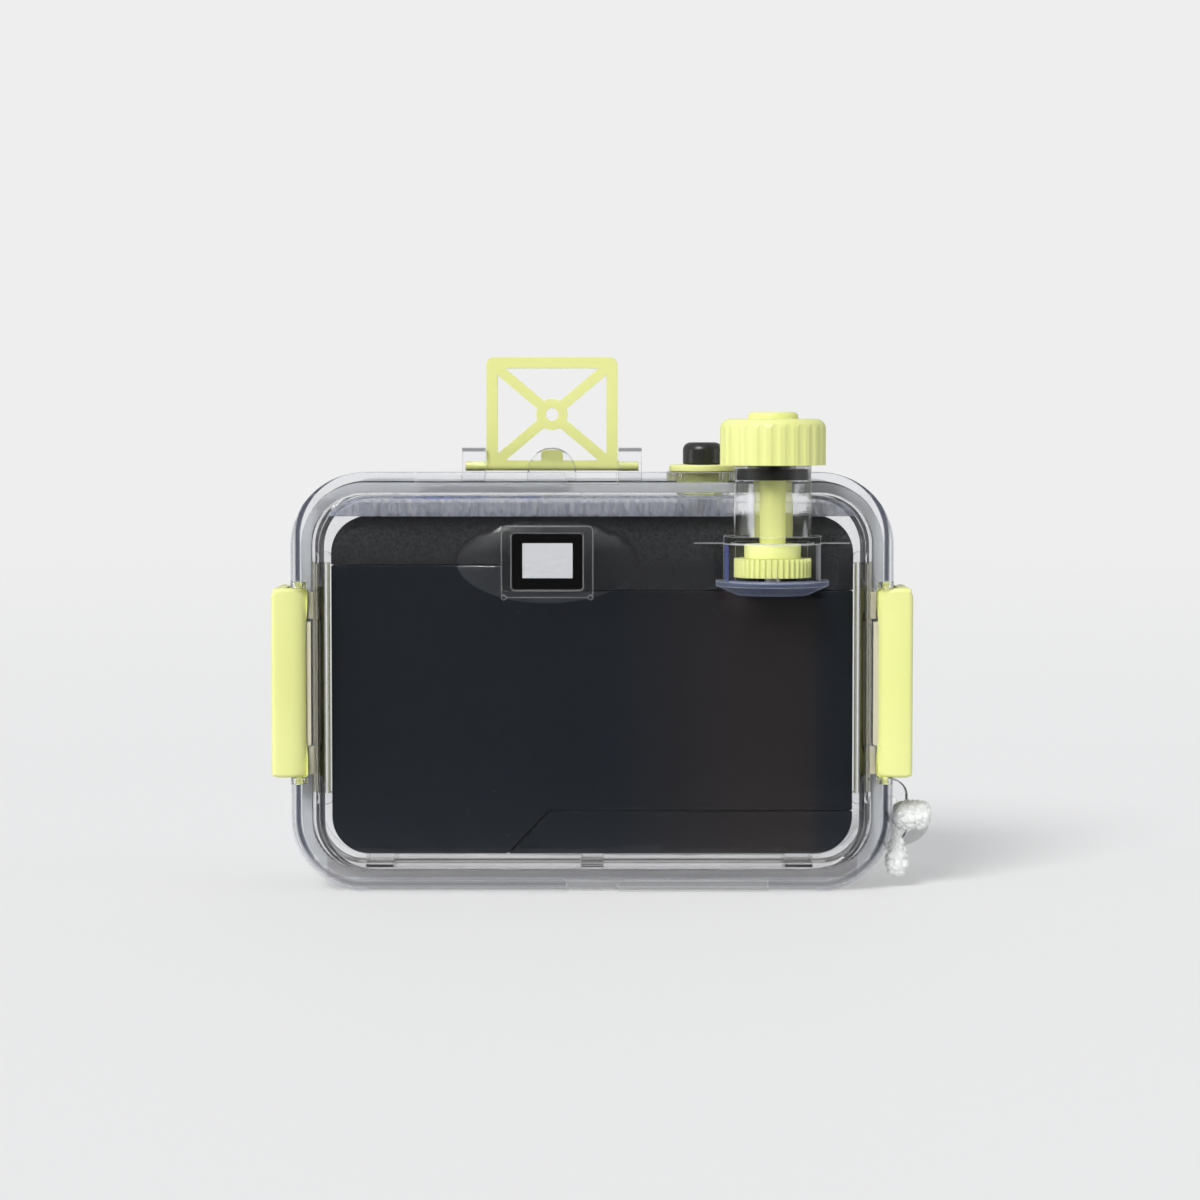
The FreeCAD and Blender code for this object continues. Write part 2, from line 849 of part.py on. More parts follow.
def sight_frame():
    """Flip-up sight: a framed cross with a ring in the middle, on an integral hinge bar."""
    y0 = sight_y - sight_plate / 2
    y1 = sight_y + sight_plate / 2
    left = sight_x - sight_width / 2
    right = sight_x + sight_width / 2
    low = hinge_z - hinge_radius
    inner_low = hinge_z + hinge_radius + sight_plate / 10
    inner_high = sight_top - sight_bar
    frame = rounded_block(left, right, low, sight_top, sight_corner, y0, y1)
    frame = frame.fuse(box(left, right, y0, y1, low, low + sight_corner))
    opening = box(left + sight_bar, right - sight_bar, y0, y1, inner_low, inner_high)
    frame = frame.cut(opening)
    middle_z = (inner_low + inner_high) / 2
    half_x = sight_width / 2 - sight_bar
    half_z = (inner_high - inner_low) / 2
    lean = math.degrees(math.atan2(half_z, half_x))
    reach = math.hypot(half_x, half_z)
    for angle in (lean, -lean):
        diagonal = box(-reach, reach, y0, y1, -sight_diagonal / 2, sight_diagonal / 2)
        diagonal.rotate(V(0, 0, 0), V(0, 1, 0), angle)
        diagonal.translate(V(sight_x, 0, middle_z))
        frame = frame.fuse(diagonal.common(opening))
    frame = frame.fuse(drum(sight_x, middle_z, y0, y1, sight_ring_radius))
    tab_top = inner_low + tab_rise
    tab = box(sight_x - tab_width / 2, sight_x + tab_width / 2, y0, y1, inner_low - overlap, tab_top)
    tab = tab.makeFillet(0.49 * min(tab_width, tab_rise), upper_y_edges(tab, tab_top))
    frame = frame.fuse(tab).cut(drum(sight_x, middle_z, y0, y1, sight_hole_radius))
    rounding = box(left, right, y0, y1, low, hinge_z)
    frame = frame.cut(rounding)
    hinge = bar(sight_x - hinge_length / 2, sight_x + hinge_length / 2, sight_y, hinge_z, hinge_radius)
    return one(frame.fuse(hinge))


def shutter_gland():
    """Yellow bush through the housing's top wall, cupped for the button above."""
    flange = post(shutter_x, shutter_y, shell_top + boss_rise, gland_top, gland_flange_radius)
    sleeve = post(shutter_x, shutter_y, gland_nose_z, gland_top, gland_sleeve_radius)
    cup = post(shutter_x, shutter_y, gland_top - button_pocket, gland_top, button_radius + run_gap)
    hole = post(shutter_x, shutter_y, gland_nose_z, gland_top, plunger_radius + plunger_gap)
    seat = post(shutter_x, shutter_y, gland_nose_z, gland_nose_z + shutter_seal_height, shutter_seal_radius)
    return one(flange.fuse(sleeve).cut([cup, hole, seat]))


def shutter_seal():
    ring = post(shutter_x, shutter_y, gland_nose_z, gland_nose_z + shutter_seal_height, shutter_seal_radius)
    return one(ring.cut(post(shutter_x, shutter_y, gland_nose_z, gland_top, plunger_radius + plunger_gap)))


def shutter_button():
    """Black button with a domed top."""
    body = post(shutter_x, shutter_y, button_low, button_top, button_radius)
    body = body.makeFillet(button_dome, top_edges(body, button_top))
    socket = post(shutter_x, shutter_y, button_low, button_low + button_socket, plunger_radius)
    return one(body.cut(socket))


def shutter_plunger():
    """Rod from the button to the pusher over the camera's own button."""
    return post(shutter_x, shutter_y, pusher_low + pusher_floor, button_low + button_socket, plunger_radius)


def shutter_pusher():
    disc = post(shutter_x, shutter_y, pusher_low, pusher_top, pusher_radius)
    hub_top_z = pusher_top + pusher_hub
    hub = post(shutter_x, shutter_y, pusher_top, hub_top_z, plunger_radius + pusher_hub_wall)
    socket = post(shutter_x, shutter_y, pusher_low + pusher_floor, hub_top_z, plunger_radius)
    return one(disc.fuse(hub).cut(socket))


def biarcs(points, tangents):
    """Two arcs between each pair of points, tangent to each other and to the given directions."""
    edges = []
    for k in range(len(points) - 1):
        start, end = points[k], points[k + 1]
        chord = end - start
        both = tangents[k] + tangents[k + 1]
        spread = 2 * (1 - tangents[k].dot(tangents[k + 1]))
        along = chord.dot(both)
        leg = (math.sqrt(along ** 2 + spread * chord.dot(chord)) - along) / spread
        corner_a = start + tangents[k] * leg
        corner_b = end - tangents[k + 1] * leg
        joint = (corner_a + corner_b) * 0.5
        edges.append(corner_arc(start, corner_a, joint))
        edges.append(corner_arc(joint, corner_b, end))
    return Part.Wire(edges)


def corner_arc(start, corner, end):
    """The arc from start to end that both lines from the corner touch."""
    base = (start + end) * 0.5
    rise = corner - base
    half_chord = start.distanceToPoint(end) / 2
    sagitta = half_chord * math.tan(math.atan2(rise.Length, half_chord) / 2)
    return Part.Arc(start, base + rise.normalize() * sagitta, end).toShape()


def shutter_spring():
    """Open coil spring under the button, a pipe along arcs of a quarter turn."""
    low = gland_top - button_pocket + spring_gap + spring_wire / 2
    rise = button_low - spring_gap - spring_wire / 2 - low
    pitch = rise / spring_turns
    points = []
    tangents = []
    for k in range(2 * spring_turns + 1):
        turn = math.pi * k
        across = spring_radius * math.cos(turn)
        along = spring_radius * math.sin(turn)
        points.append(V(shutter_x + across, shutter_y + along, low + pitch * k / 2))
        tangents.append(V(-along, across, pitch / (2 * math.pi)).normalize())
    return one(tube(biarcs(points, tangents), points[0], tangents[0], spring_wire / 2))


def advance_knob():
    """Fluted knob with a raised crown, blind-bored for the shaft."""
    body = post(knob_x, knob_y, knob_bottom, knob_top, knob_radius)
    body = body.makeFillet(knob_shoulder, top_edges(body, knob_top))
    offset = knob_radius + flute_radius - flute_bite
    flutes = []
    for k in range(flute_count):
        turn = 2 * math.pi * k / flute_count
        flutes.append(post(knob_x + offset * math.cos(turn), knob_y + offset * math.sin(turn),
                           knob_bottom, knob_top, flute_radius))
    body = body.cut(flutes)
    crown = post(knob_x, knob_y, knob_top - overlap, knob_top + crown_height, crown_radius)
    crown = crown.makeFillet(crown_round, top_edges(crown, knob_top + crown_height))
    bore = post(knob_x, knob_y, knob_bottom, knob_bore_top, shaft_radius)
    return one(body.fuse(crown).cut(bore))


def knob_seal():
    ring = post(knob_x, knob_y, knob_seal_top - knob_seal_height, knob_seal_top, knob_seal_radius)
    ring = ring.fuse(post(knob_x, knob_y, knob_seal_top, boss_top, knob_seal_collar))
    return one(ring.cut(post(knob_x, knob_y, 0, boss_top, shaft_radius + shaft_gap)))


def advance_shaft():
    """Shaft with the collar that bears under the boss and the seat for the toothed wheel."""
    shaft = post(knob_x, knob_y, wheel_bottom, knob_bore_top, shaft_radius)
    collar = post(knob_x, knob_y, hub_bottom, hub_top, hub_radius)
    return one(shaft.fuse(collar).cut(post(knob_x, knob_y, 0, wheel_bottom + screw_length, screw_radius)))


def toothed_disc(x, y, z0, z1, teeth, tip_radius, phase):
    """A wheel with straight-flanked teeth, one tooth centred on the phase angle (degrees)."""
    root = tip_radius - tooth_depth
    step = 2 * math.pi / teeth
    points = []
    for k in range(teeth):
        middle = math.radians(phase) + k * step
        flank = (
            (-tooth_root_share, root), (-tooth_tip_share, tip_radius),
            (tooth_tip_share, tip_radius), (tooth_root_share, root),
        )
        for share, radius in flank:
            angle = middle + share * step
            points.append(V(x + radius * math.cos(angle), y + radius * math.sin(angle), z0))
    points.append(points[0])
    return Part.Face(Part.makePolygon(points)).extrude(V(0, 0, z1 - z0))


def mesh_angle():
    """Direction from the knob's axis to the camera's wheel, in degrees."""
    return math.degrees(math.atan2(thumb_y - knob_y, thumb_x - knob_x))


def drive_wheel():
    disc = toothed_disc(knob_x, knob_y, wheel_bottom, hub_bottom, wheel_teeth, wheel_tip_radius, mesh_angle())
    return one(disc.cut(post(knob_x, knob_y, wheel_bottom, hub_bottom, shaft_radius)))


def wheel_screw():
    head = post(knob_x, knob_y, wheel_bottom - screw_head, wheel_bottom, screw_head_radius)
    return one(head.fuse(post(knob_x, knob_y, wheel_bottom, wheel_bottom + screw_length, screw_radius)))


def film_wheel():
    """The camera's own advance wheel, half a tooth out of step so that the two mesh."""
    phase = mesh_angle() + 180 + 180 / thumb_teeth
    disc = toothed_disc(thumb_x, thumb_y, thumb_bottom, thumb_top, thumb_teeth, thumb_tip_radius, phase)
    hub = post(thumb_x, thumb_y, spool_top, thumb_bottom, spool_radius - spool_flange)
    return one(disc.fuse(hub))


def takeup_spool():
    """Slotted spool that winds the film on, joined to the wheel above it."""
    core = post(thumb_x, thumb_y, spool_bottom, spool_top, spool_radius)
    flange = post(thumb_x, thumb_y, spool_bottom, spool_bottom + spool_flange, spool_flange_radius)
    upper = post(thumb_x, thumb_y, spool_top - spool_flange, spool_top, spool_flange_radius)
    slot = box(thumb_x - spool_core_slot / 2, thumb_x + spool_core_slot / 2, thumb_y - spool_radius,
               thumb_y + spool_radius, spool_bottom + spool_slot_end, spool_top - spool_slot_end)
    return one(core.fuse([flange, upper]).cut(slot))


def finder_box(width, height, y0, y1):
    """A sharp-cornered block centred on the viewfinder."""
    return box(finder_x - width / 2, finder_x + width / 2, y0, y1,
               finder_z - height / 2, finder_z + height / 2)


def viewfinder_tunnel(gap):
    return finder_box(eyepiece_width + 2 * gap, eyepiece_height + 2 * gap,
                      camera_back_y - oval_rise, camera_front_y)


def top_zone(y0, y1, gap):
    """The band of the body that belongs to the top cover: deeper on the right, where the wheel is."""
    across = box(-half_width, half_width, y0, y1, top_cover_low + gap, camera_top)
    right = box(drop_x + gap, half_width, y0, y1, door_top_right + gap, camera_top)
    return across.fuse(right)


def oval_bulge():
    """The low oval bulge round the eyepiece, a slice off a long ball; both covers have a share of it."""
    ball_radius = (oval_half_width ** 2 + oval_rise ** 2) / (2 * oval_rise)
    ball = Part.makeSphere(ball_radius, V(0, ball_radius - oval_rise, 0), V(0, -1, 0))
    cap = ball.common(box(-oval_half_width, oval_half_width, -oval_rise - overlap, camera_wall / 2,
                          -oval_half_width, oval_half_width))
    squeeze = FreeCAD.Matrix()
    squeeze.scale(1, 1, oval_half_height / oval_half_width)
    cap = cap.transformGeometry(squeeze)
    cap.translate(V(finder_x, camera_back_y, finder_z))
    return cap


def wheel_recess():
    """Room in the camera's back for both wheels."""
    room = post(knob_x, knob_y, door_top_right, boss_bottom, chamber_radius - chamber_wall)
    own = post(thumb_x, thumb_y, spool_top - part_gap, thumb_top + part_gap, thumb_tip_radius + thumb_room)
    return room.fuse(own)


def camera_top_cover():
    """Top of the camera: a shell with the viewfinder's tunnel, button well and counter window."""
    outer = camera_block(0, camera_back_y, camera_front_y).common(top_zone(camera_back_y, camera_front_y, 0))
    inner = camera_block(camera_wall, camera_inner_y, camera_front_y - camera_wall)
    cover = outer.cut(inner)
    tunnel = finder_box(eyepiece_width + 2 * tunnel_wall, eyepiece_height + 2 * tunnel_wall,
                        camera_back_y, camera_front_y)
    tunnel = tunnel.common(top_zone(camera_back_y, camera_front_y, 0))
    deck_low = thumb_top + deck_gap
    deck = box(camera_half - deck_inset, camera_half - camera_wall, camera_inner_y,
               camera_front_y - camera_wall, deck_low, deck_low + deck_plate)
    well_bottom = camera_top - button_well_depth
    well = post(shutter_x, shutter_y, well_bottom, camera_top, camera_button_radius + button_well_wall)
    bulge = oval_bulge().common(top_zone(camera_back_y - oval_rise - overlap, camera_inner_y, 0))
    cover = cover.fuse([tunnel, deck, well, bulge])
    cover = cover.cut(post(shutter_x, shutter_y, well_bottom + button_well_floor, camera_top,
                           camera_button_radius + run_gap))
    cover = cover.cut([viewfinder_tunnel(0), wheel_recess()])
    window_y = dial_y + dial_window_offset
    window = post(dial_x, window_y, camera_top - camera_wall, camera_top, dial_window_radius)
    return one(cover.cut(window))


def finder_glass(y):
    return finder_box(eyepiece_width, eyepiece_height, y, y + finder_lens)


def rectangle(half_x, half_z, y):
    """A rectangle centred on the viewfinder, in a plane square to Y."""
    corners = []
    for across, up in ((-1, -1), (1, -1), (1, 1), (-1, 1)):
        corners.append(V(finder_x + across * half_x, y, finder_z + up * half_z))
    return Part.makePolygon(corners + corners[:1])


def finder_mask():
    """Black mask in the tunnel, with the picture window through it."""
    y0 = camera_back_y + finder_lens
    y1 = camera_front_y - finder_lens
    block = finder_box(eyepiece_width, eyepiece_height, y0, y1)
    half_x = window_width / 2
    half_z = window_height / 2
    near = rectangle(half_x, half_z, y0)
    far = rectangle(half_x + window_flare, half_z + window_flare, y1)
    return one(block.cut(Part.makeLoft([near, far], True, True)))


def bottom_corner(y0, y1, gap):
    """The slanted area at the lower right of the back that the bottom cover takes."""
    left = bottom_cover_left - gap
    high = camera_bottom + bottom_cover_height + gap
    foot = left - bottom_cover_slant * (high - camera_bottom) / bottom_cover_height
    points = [V(left, y0, high), V(half_width, y0, high), V(half_width, y0, camera_bottom),
              V(foot, y0, camera_bottom), V(left, y0, high)]
    return Part.Face(Part.makePolygon(points)).extrude(V(0, y1 - y0, 0))


def camera_back_door():
    """Hinged back of the camera: plate and short returns, stopped short of its neighbours."""
    y1 = camera_back_y + door_depth
    outer = camera_block(0, camera_back_y, y1)
    door = outer.cut(camera_block(camera_wall, camera_inner_y, y1))
    door = door.fuse(oval_bulge()).cut(top_zone(camera_back_y - oval_rise - overlap, y1, -seam))
    door = door.cut(bottom_corner(camera_back_y, y1, seam))
    door = door.cut(box(-half_width, half_width, camera_inner_y, y1, 0, camera_bottom + bottom_plate + seam))
    return one(door)


def camera_bottom_cover():
    """Floor of the camera with the upturned corner at the back, open for the rewind parts."""
    floor_part = camera_block(0, camera_inner_y, camera_front_y, 0, camera_bottom + bottom_plate)
    corner = camera_block(0, camera_back_y, camera_inner_y)
    corner = corner.common(bottom_corner(camera_back_y, camera_inner_y, 0))
    cover = floor_part.fuse(corner)
    plate_top = camera_bottom + bottom_plate
    recess = post(cartridge_x, cartridge_y, 0, camera_bottom + rewind_depth + seam, rewind_radius + part_gap)
    fork_hole = post(cartridge_x, cartridge_y, 0, plate_top, fork_radius + run_gap)
    release_hole = post(release_x, release_y, 0, plate_top, release_radius + run_gap)
    return one(cover.cut([recess, fork_hole, release_hole]))


def camera_front_cover():
    """Front shell of the camera, with the opening for the lens."""
    low = camera_bottom + bottom_plate + seam
    y0 = camera_back_y + door_depth + seam
    outer = camera_block(0, y0, camera_front_y)
    cover = outer.cut(camera_block(camera_wall, y0, camera_front_y - camera_wall))
    cover = cover.cut(top_zone(y0, camera_front_y, -seam))
    cover = cover.cut(box(-half_width, half_width, y0, camera_front_y, 0, low))
    lens_hole = drum(lens_x, lens_z, camera_front_y - camera_wall, camera_front_y, barrel_radius + barrel_fit)
    return one(cover.cut([lens_hole, viewfinder_tunnel(barrel_fit)]))


def film_well(x, y, z0, z1, radius):
    """A round well for a spool or roller, open to the back of the film box."""
    mouth = box(x - radius, x + radius, camera_inner_y, y, z0, z1)
    return post(x, y, z0, z1, radius).fuse(mouth)


def chassis_low():
    return camera_bottom + bottom_plate + seam


def chassis_high():
    return door_top_right - chassis_top_gap


def camera_chassis():
    """Inner body: film gate with its dark tunnel, the cartridge well and the take-up well."""
    y0 = camera_inner_y + chassis_back_room
    y1 = camera_front_y - camera_wall - blade_room
    z0 = chassis_low()
    z1 = chassis_high()
    floor_z = z0 + well_floor
    roof_z = z1 - well_floor
    left = cartridge_x - cartridge_radius - well_wall
    body = camera_block(camera_wall + chassis_gap, y0, y1).common(box(left, half_width, y0, y1, z0, z1))
    wells = [
        film_well(cartridge_x, cartridge_y, floor_z, roof_z, cartridge_radius),
        film_well(thumb_x, thumb_y, floor_z, z1, spool_flange_radius + well_gap),
        film_well(sprocket_x, sprocket_y, floor_z, roof_z, sprocket_radius + well_gap),
    ]
    half_gate = gate_height / 2
    half_opening = blade_radius * math.sqrt(2)
    back_gate = rounded_wire(-gate_width / 2, gate_width / 2, lens_z - half_gate, lens_z + half_gate,
                             overlap, y0)
    front_gate = rounded_wire(-half_opening, half_opening, lens_z - half_opening, lens_z + half_opening,
                              overlap, y1)
    tunnel = Part.makeLoft([back_gate, front_gate], True, True)
    shafts = [
        post(cartridge_x, cartridge_y, z0, floor_z, fork_radius + run_gap),
        post(release_x, release_y, z0, floor_z, release_radius + run_gap),
        post(sprocket_x, sprocket_y, z0 + bearing_depth, z1 - bearing_depth, sprocket_shaft_radius + run_gap),
    ]
    return one(body.cut(wells + [tunnel] + shafts))


def sprocket():
    """Film sprocket: two rings of teeth that sit in the film's perforations."""
    end_gap = bearing_depth + sprocket_end_gap
    shaft = post(sprocket_x, sprocket_y, chassis_low() + end_gap, chassis_high() - end_gap,
                 sprocket_shaft_radius)
    core_low = lens_z - gate_height / 2 - sprocket_ring_gap
    core_high = lens_z + gate_height / 2 + sprocket_ring_gap
    solid = shaft.fuse(post(sprocket_x, sprocket_y, core_low, core_high, sprocket_core_radius))
    for z in (core_low - sprocket_ring, core_high):
        ring = post(sprocket_x, sprocket_y, z, z + sprocket_ring, sprocket_radius - sprocket_tooth)
        low = z + (sprocket_ring - sprocket_tooth_height) / 2
        teeth = []
        for k in range(sprocket_teeth):
            tooth = box(0, sprocket_radius, -sprocket_tooth_width / 2, sprocket_tooth_width / 2,
                        low, low + sprocket_tooth_height)
            tooth.rotate(V(0, 0, 0), V(0, 0, 1), 360 * k / sprocket_teeth)
            tooth.translate(V(sprocket_x, sprocket_y, 0))
            teeth.append(tooth)
        solid = solid.fuse([ring] + teeth)
    return one(solid)


def pressure_plate():
    """Sprung plate on the door that keeps the film flat."""
    y0 = camera_inner_y + leaf_room
    half_x = pressure_width / 2
    half_z = pressure_height / 2
    return rounded_block(lens_x - half_x, lens_x + half_x, lens_z - half_z, lens_z + half_z,
                         pressure_corner, y0, y0 + pressure_thickness)


def pressure_spring():
    """Bowed leaf between the door and the pressure plate."""
    outer_y = camera_inner_y + leaf_room
    inner_y = outer_y - leaf_thickness
    left = lens_x - leaf_reach
    right = lens_x + leaf_reach
    near = [V(left, inner_y, lens_z), V(lens_x, inner_y - leaf_bow, lens_z), V(right, inner_y, lens_z)]
    far = [V(right, outer_y, lens_z), V(lens_x, outer_y - leaf_bow, lens_z), V(left, outer_y, lens_z)]
    edges = [
        Part.Arc(*near).toShape(), Part.LineSegment(near[-1], far[0]).toShape(),
        Part.Arc(*far).toShape(), Part.LineSegment(far[-1], near[0]).toShape(),
    ]
    return Part.Face(Part.Wire(edges)).extrude(V(0, 0, leaf_height))


def lens_barrel():
    """Lens mount: a ring in the front cover with seats for both lenses and a cone in front of the glass."""
    y0 = camera_front_y - camera_wall
    ring = drum(lens_x, lens_z, y0, barrel_front_y, barrel_radius)
    cone = Part.makeCone(front_lens_radius, barrel_radius - barrel_rim, barrel_front_y - y0 - lens_seat,
                         V(lens_x, y0 + lens_seat, lens_z), V(0, 1, 0))
    rear_seat = drum(lens_x, lens_z, y0, y0 + rear_lens_seat, rear_lens_radius)
    stop = drum(lens_x, lens_z, y0, y0 + lens_seat, stop_hole_radius)
    front_seat = drum(lens_x, lens_z, y0 + front_lens_shelf, y0 + lens_seat, front_lens_radius)
    return one(ring.cut([cone, rear_seat, stop, front_seat]))


def lens(y, radius, thickness, bulge):
    """A simple lens: a disc with one round face."""
    disc = drum(lens_x, lens_z, y, y + thickness, radius)
    sphere_radius = (radius ** 2 + bulge ** 2) / (2 * bulge)
    ball = Part.makeSphere(sphere_radius, V(lens_x, y + thickness + bulge - sphere_radius, lens_z))
    cap = drum(lens_x, lens_z, y, y + thickness + bulge, radius).common(ball)
    return one(disc.fuse(cap))


def front_lens():
    y0 = camera_front_y - camera_wall + front_lens_shelf
    return lens(y0, front_lens_radius, front_lens_edge, front_lens_bulge)


def rear_lens():
    y0 = camera_front_y - camera_wall + rear_lens_shelf
    return lens(y0, rear_lens_radius, rear_lens_edge, rear_lens_bulge)


def shutter_blade():
    """Blade that covers the lens from behind, on its pivot pin."""
    y1 = camera_front_y - camera_wall - blade_clearance
    y0 = y1 - blade_thickness
    pivot_x = lens_x + blade_pivot_x
    disc = drum(lens_x, lens_z, y0, y1, blade_radius)
    eye = drum(pivot_x, lens_z, y0, y1, blade_eye_radius)
    arm = box(lens_x, pivot_x, y0, y1, lens_z - blade_arm_width / 2, lens_z + blade_arm_width / 2)
    return one(disc.fuse([eye, arm]).cut(drum(pivot_x, lens_z, y0, y1, blade_pin_radius + run_gap)))


def blade_pin():
    y0 = camera_front_y - camera_wall
    return drum(lens_x + blade_pivot_x, lens_z, y0 - blade_pin_length, y0, blade_pin_radius)


def camera_button():
    """The camera's own release, in its well."""
    low = camera_button_top - camera_button_thickness
    return post(shutter_x, shutter_y, low, camera_button_top, camera_button_radius)


def counter_dial():
    z1 = camera_top - camera_wall - dial_gap
    z0 = thumb_top + deck_gap + deck_plate + run_gap
    dial = post(dial_x, dial_y, z1 - dial_thickness, z1, dial_radius)
    return one(dial.fuse(post(dial_x, dial_y, z0, z1, dial_pivot_radius)))


def rewind_knob():
    """Flush knob with a grip rib, on the camera's underside, with the fork that turns the film spool."""
    disc = post(cartridge_x, cartridge_y, camera_bottom, camera_bottom + rewind_depth, rewind_radius)
    rib = box(cartridge_x - rewind_rib / 2, cartridge_x + rewind_rib / 2, cartridge_y - rewind_radius,
              cartridge_y + rewind_radius, camera_bottom, camera_bottom + rewind_depth)
    for side in (-1, 1):
        pocket = post(cartridge_x + side * rewind_pocket_offset, cartridge_y, camera_bottom,
                      camera_bottom + rewind_pocket_depth, rewind_pocket_radius)
        disc = disc.cut(pocket.cut(rib))
    return one(disc)


def rewind_fork():
    z0 = camera_bottom + rewind_depth
    z1 = camera_bottom + bottom_plate + fork_reach
    stem = post(cartridge_x, cartridge_y, z0, z1, fork_radius)
    slot = box(cartridge_x - fork_slot / 2, cartridge_x + fork_slot / 2, cartridge_y - fork_radius,
               cartridge_y + fork_radius, z1 - fork_slot_depth, z1)
    return one(stem.cut(slot))


def rewind_release():
    top = camera_bottom + bottom_plate + release_head
    return post(release_x, release_y, camera_bottom, top, release_radius)


def strap_knot():
    """The knot on the lug: a loop round the lug's outer bar, the barrel of turns and the drop-shaped tail."""
    strand = cord_diameter / 2
    front_y = lug_y - knot_gap
    back_y = lug_y + lug_thickness + knot_gap
    barrel_y = front_y - knot_radius
    low = knot_z - strand
    high = knot_z + strand
    loop = box(eye_left + knot_gap / 2, knot_right, front_y - strand, back_y + cord_diameter, low, high)
    bar_room = box(eye_right - knot_gap / 2, lug_reach + knot_gap, front_y, back_y, low, high)
    barrel = bar(half_width + knot_room, knot_right + knot_end, barrel_y, knot_z + knot_raise, knot_radius)
    barrel = barrel.makeFillet(knot_round, [edge for edge in barrel.Edges if edge.BoundBox.XLength < 0.01])
    tail_x = half_width + tail_offset
    drop_z = tail_bottom + tail_radius
    neck = Part.makeCone(tail_radius, tail_neck, knot_z - drop_z, V(tail_x, barrel_y, drop_z), V(0, 0, 1))
    drop = Part.makeSphere(tail_radius, V(tail_x, barrel_y, drop_z))
    return one(loop.cut(bar_room).fuse([barrel, neck, drop]))


def cord_start():
    return V(knot_right - cord_diameter / 2, lug_y + lug_thickness + knot_gap + cord_diameter, knot_z)


def hank_reach(k):
    """Distance of the hank's run k from its middle line, run 0 outermost."""
    return hank_inner + (2 * hank_loops - 1 - k) * (cord_diameter + hank_gap) / 2


def cord_points():
    """Route of the free cord: from the knot back and down to the floor, to the put-away hank."""
    return [
        cord_start(), cord_start() + V(0, 8.0, 0), V(71.5, 30.0, 9.6), V(68.5, 41.0, 5.0),
        V(58.5, hank_front_y, cord_floor), V(hank_right, hank_front_y, cord_floor),
    ]


def tangent_path(points):
    """Straight runs joined by arcs as large as the runs allow, with their radii."""
    edges = []
    radii = []
    last = points[0]
    for k in range(1, len(points) - 1):
        before = points[k] - points[k - 1]
        after = points[k + 1] - points[k]
        turn = before.getAngle(after)
        cut = 0.45 * min(before.Length, after.Length)
        radii.append(cut / math.tan(turn / 2))
        enter = points[k] - before.normalize() * cut
        leave = points[k] + after.normalize() * cut
        inward = ((enter - points[k]) + (leave - points[k])).normalize()
        middle = points[k] + inward * (radii[-1] / math.cos(turn / 2) - radii[-1])
        edges.append(Part.LineSegment(last, enter).toShape())
        edges.append(Part.Arc(enter, middle, leave).toShape())
        last = leave
    edges.append(Part.LineSegment(last, points[-1]).toShape())
    return Part.Wire(edges), radii


def tube(path, start, direction, radius):
    profile = Part.Wire(Part.makeCircle(radius, start, direction))
    return path.makePipeShell([profile], True, False)


def strap_cord():
    points = cord_points()
    path, radii = tangent_path(points)
    cord = tube(path, points[0], points[1] - points[0], cord_diameter / 2)
    expected = math.pi * (cord_diameter / 2) ** 2 * path.Length
    print("cord radii", [round(r, 1) for r in radii], "length", round(path.Length, 1),
          "volume ratio", round(cord.Volume / expected, 4))
    return one(cord)


def strap_hank():
    """The put-away length: runs side by side, each half turn inside the one before."""
    middle_y = hank_front_y + hank_reach(0)
    edges = []
    here = V(hank_right, hank_front_y, cord_floor)
    for k in range(2 * hank_loops):
        heading = -1 if k % 2 == 0 else 1
        there = here + V(heading * hank_run, 0, 0)
        edges.append(Part.LineSegment(here, there).toShape())
        if k == 2 * hank_loops - 1:
            break
        across = -heading * hank_reach(k + 1)
        here = V(there.x, middle_y + across, cord_floor)
        radius = abs(here.y - there.y) / 2
        middle = V(there.x + heading * radius, (here.y + there.y) / 2, cord_floor)
        edges.append(Part.Arc(there, middle, here).toShape())
    path = Part.Wire(edges)
    gap = least_gap(path)
    print("hank length", round(path.Length, 1), "least gap", round(gap, 2))
    return one(tube(path, V(hank_right, hank_front_y, cord_floor), V(-1, 0, 0), cord_diameter / 2))


def least_gap(path):
    """The least free distance between turns of a tube that are not next to each other along it."""
    spacing = cord_diameter
    points = path.discretize(Number=int(path.Length / spacing))
    apart = int(4 * cord_diameter / spacing) + 1
    nearest = min(a.distanceToPoint(b) for k, a in enumerate(points) for b in points[k + apart:])
    return nearest - cord_diameter


def strap_tie():
    """Band round the middle of the hank."""
    x = hank_right - hank_run / 2
    y0 = hank_front_y - cord_diameter / 2 - tie_gap
    y1 = hank_front_y + hank_reach(0) + hank_reach(1) + cord_diameter / 2 + tie_gap
    z1 = cord_floor + cord_diameter / 2 + tie_gap
    band = box(x - tie_width / 2, x + tie_width / 2, y0 - tie_thickness, y1 + tie_thickness,
               0, z1 + tie_thickness)
    return one(band.cut(box(x - tie_width, x + tie_width, y0, y1, tie_thickness, z1)))


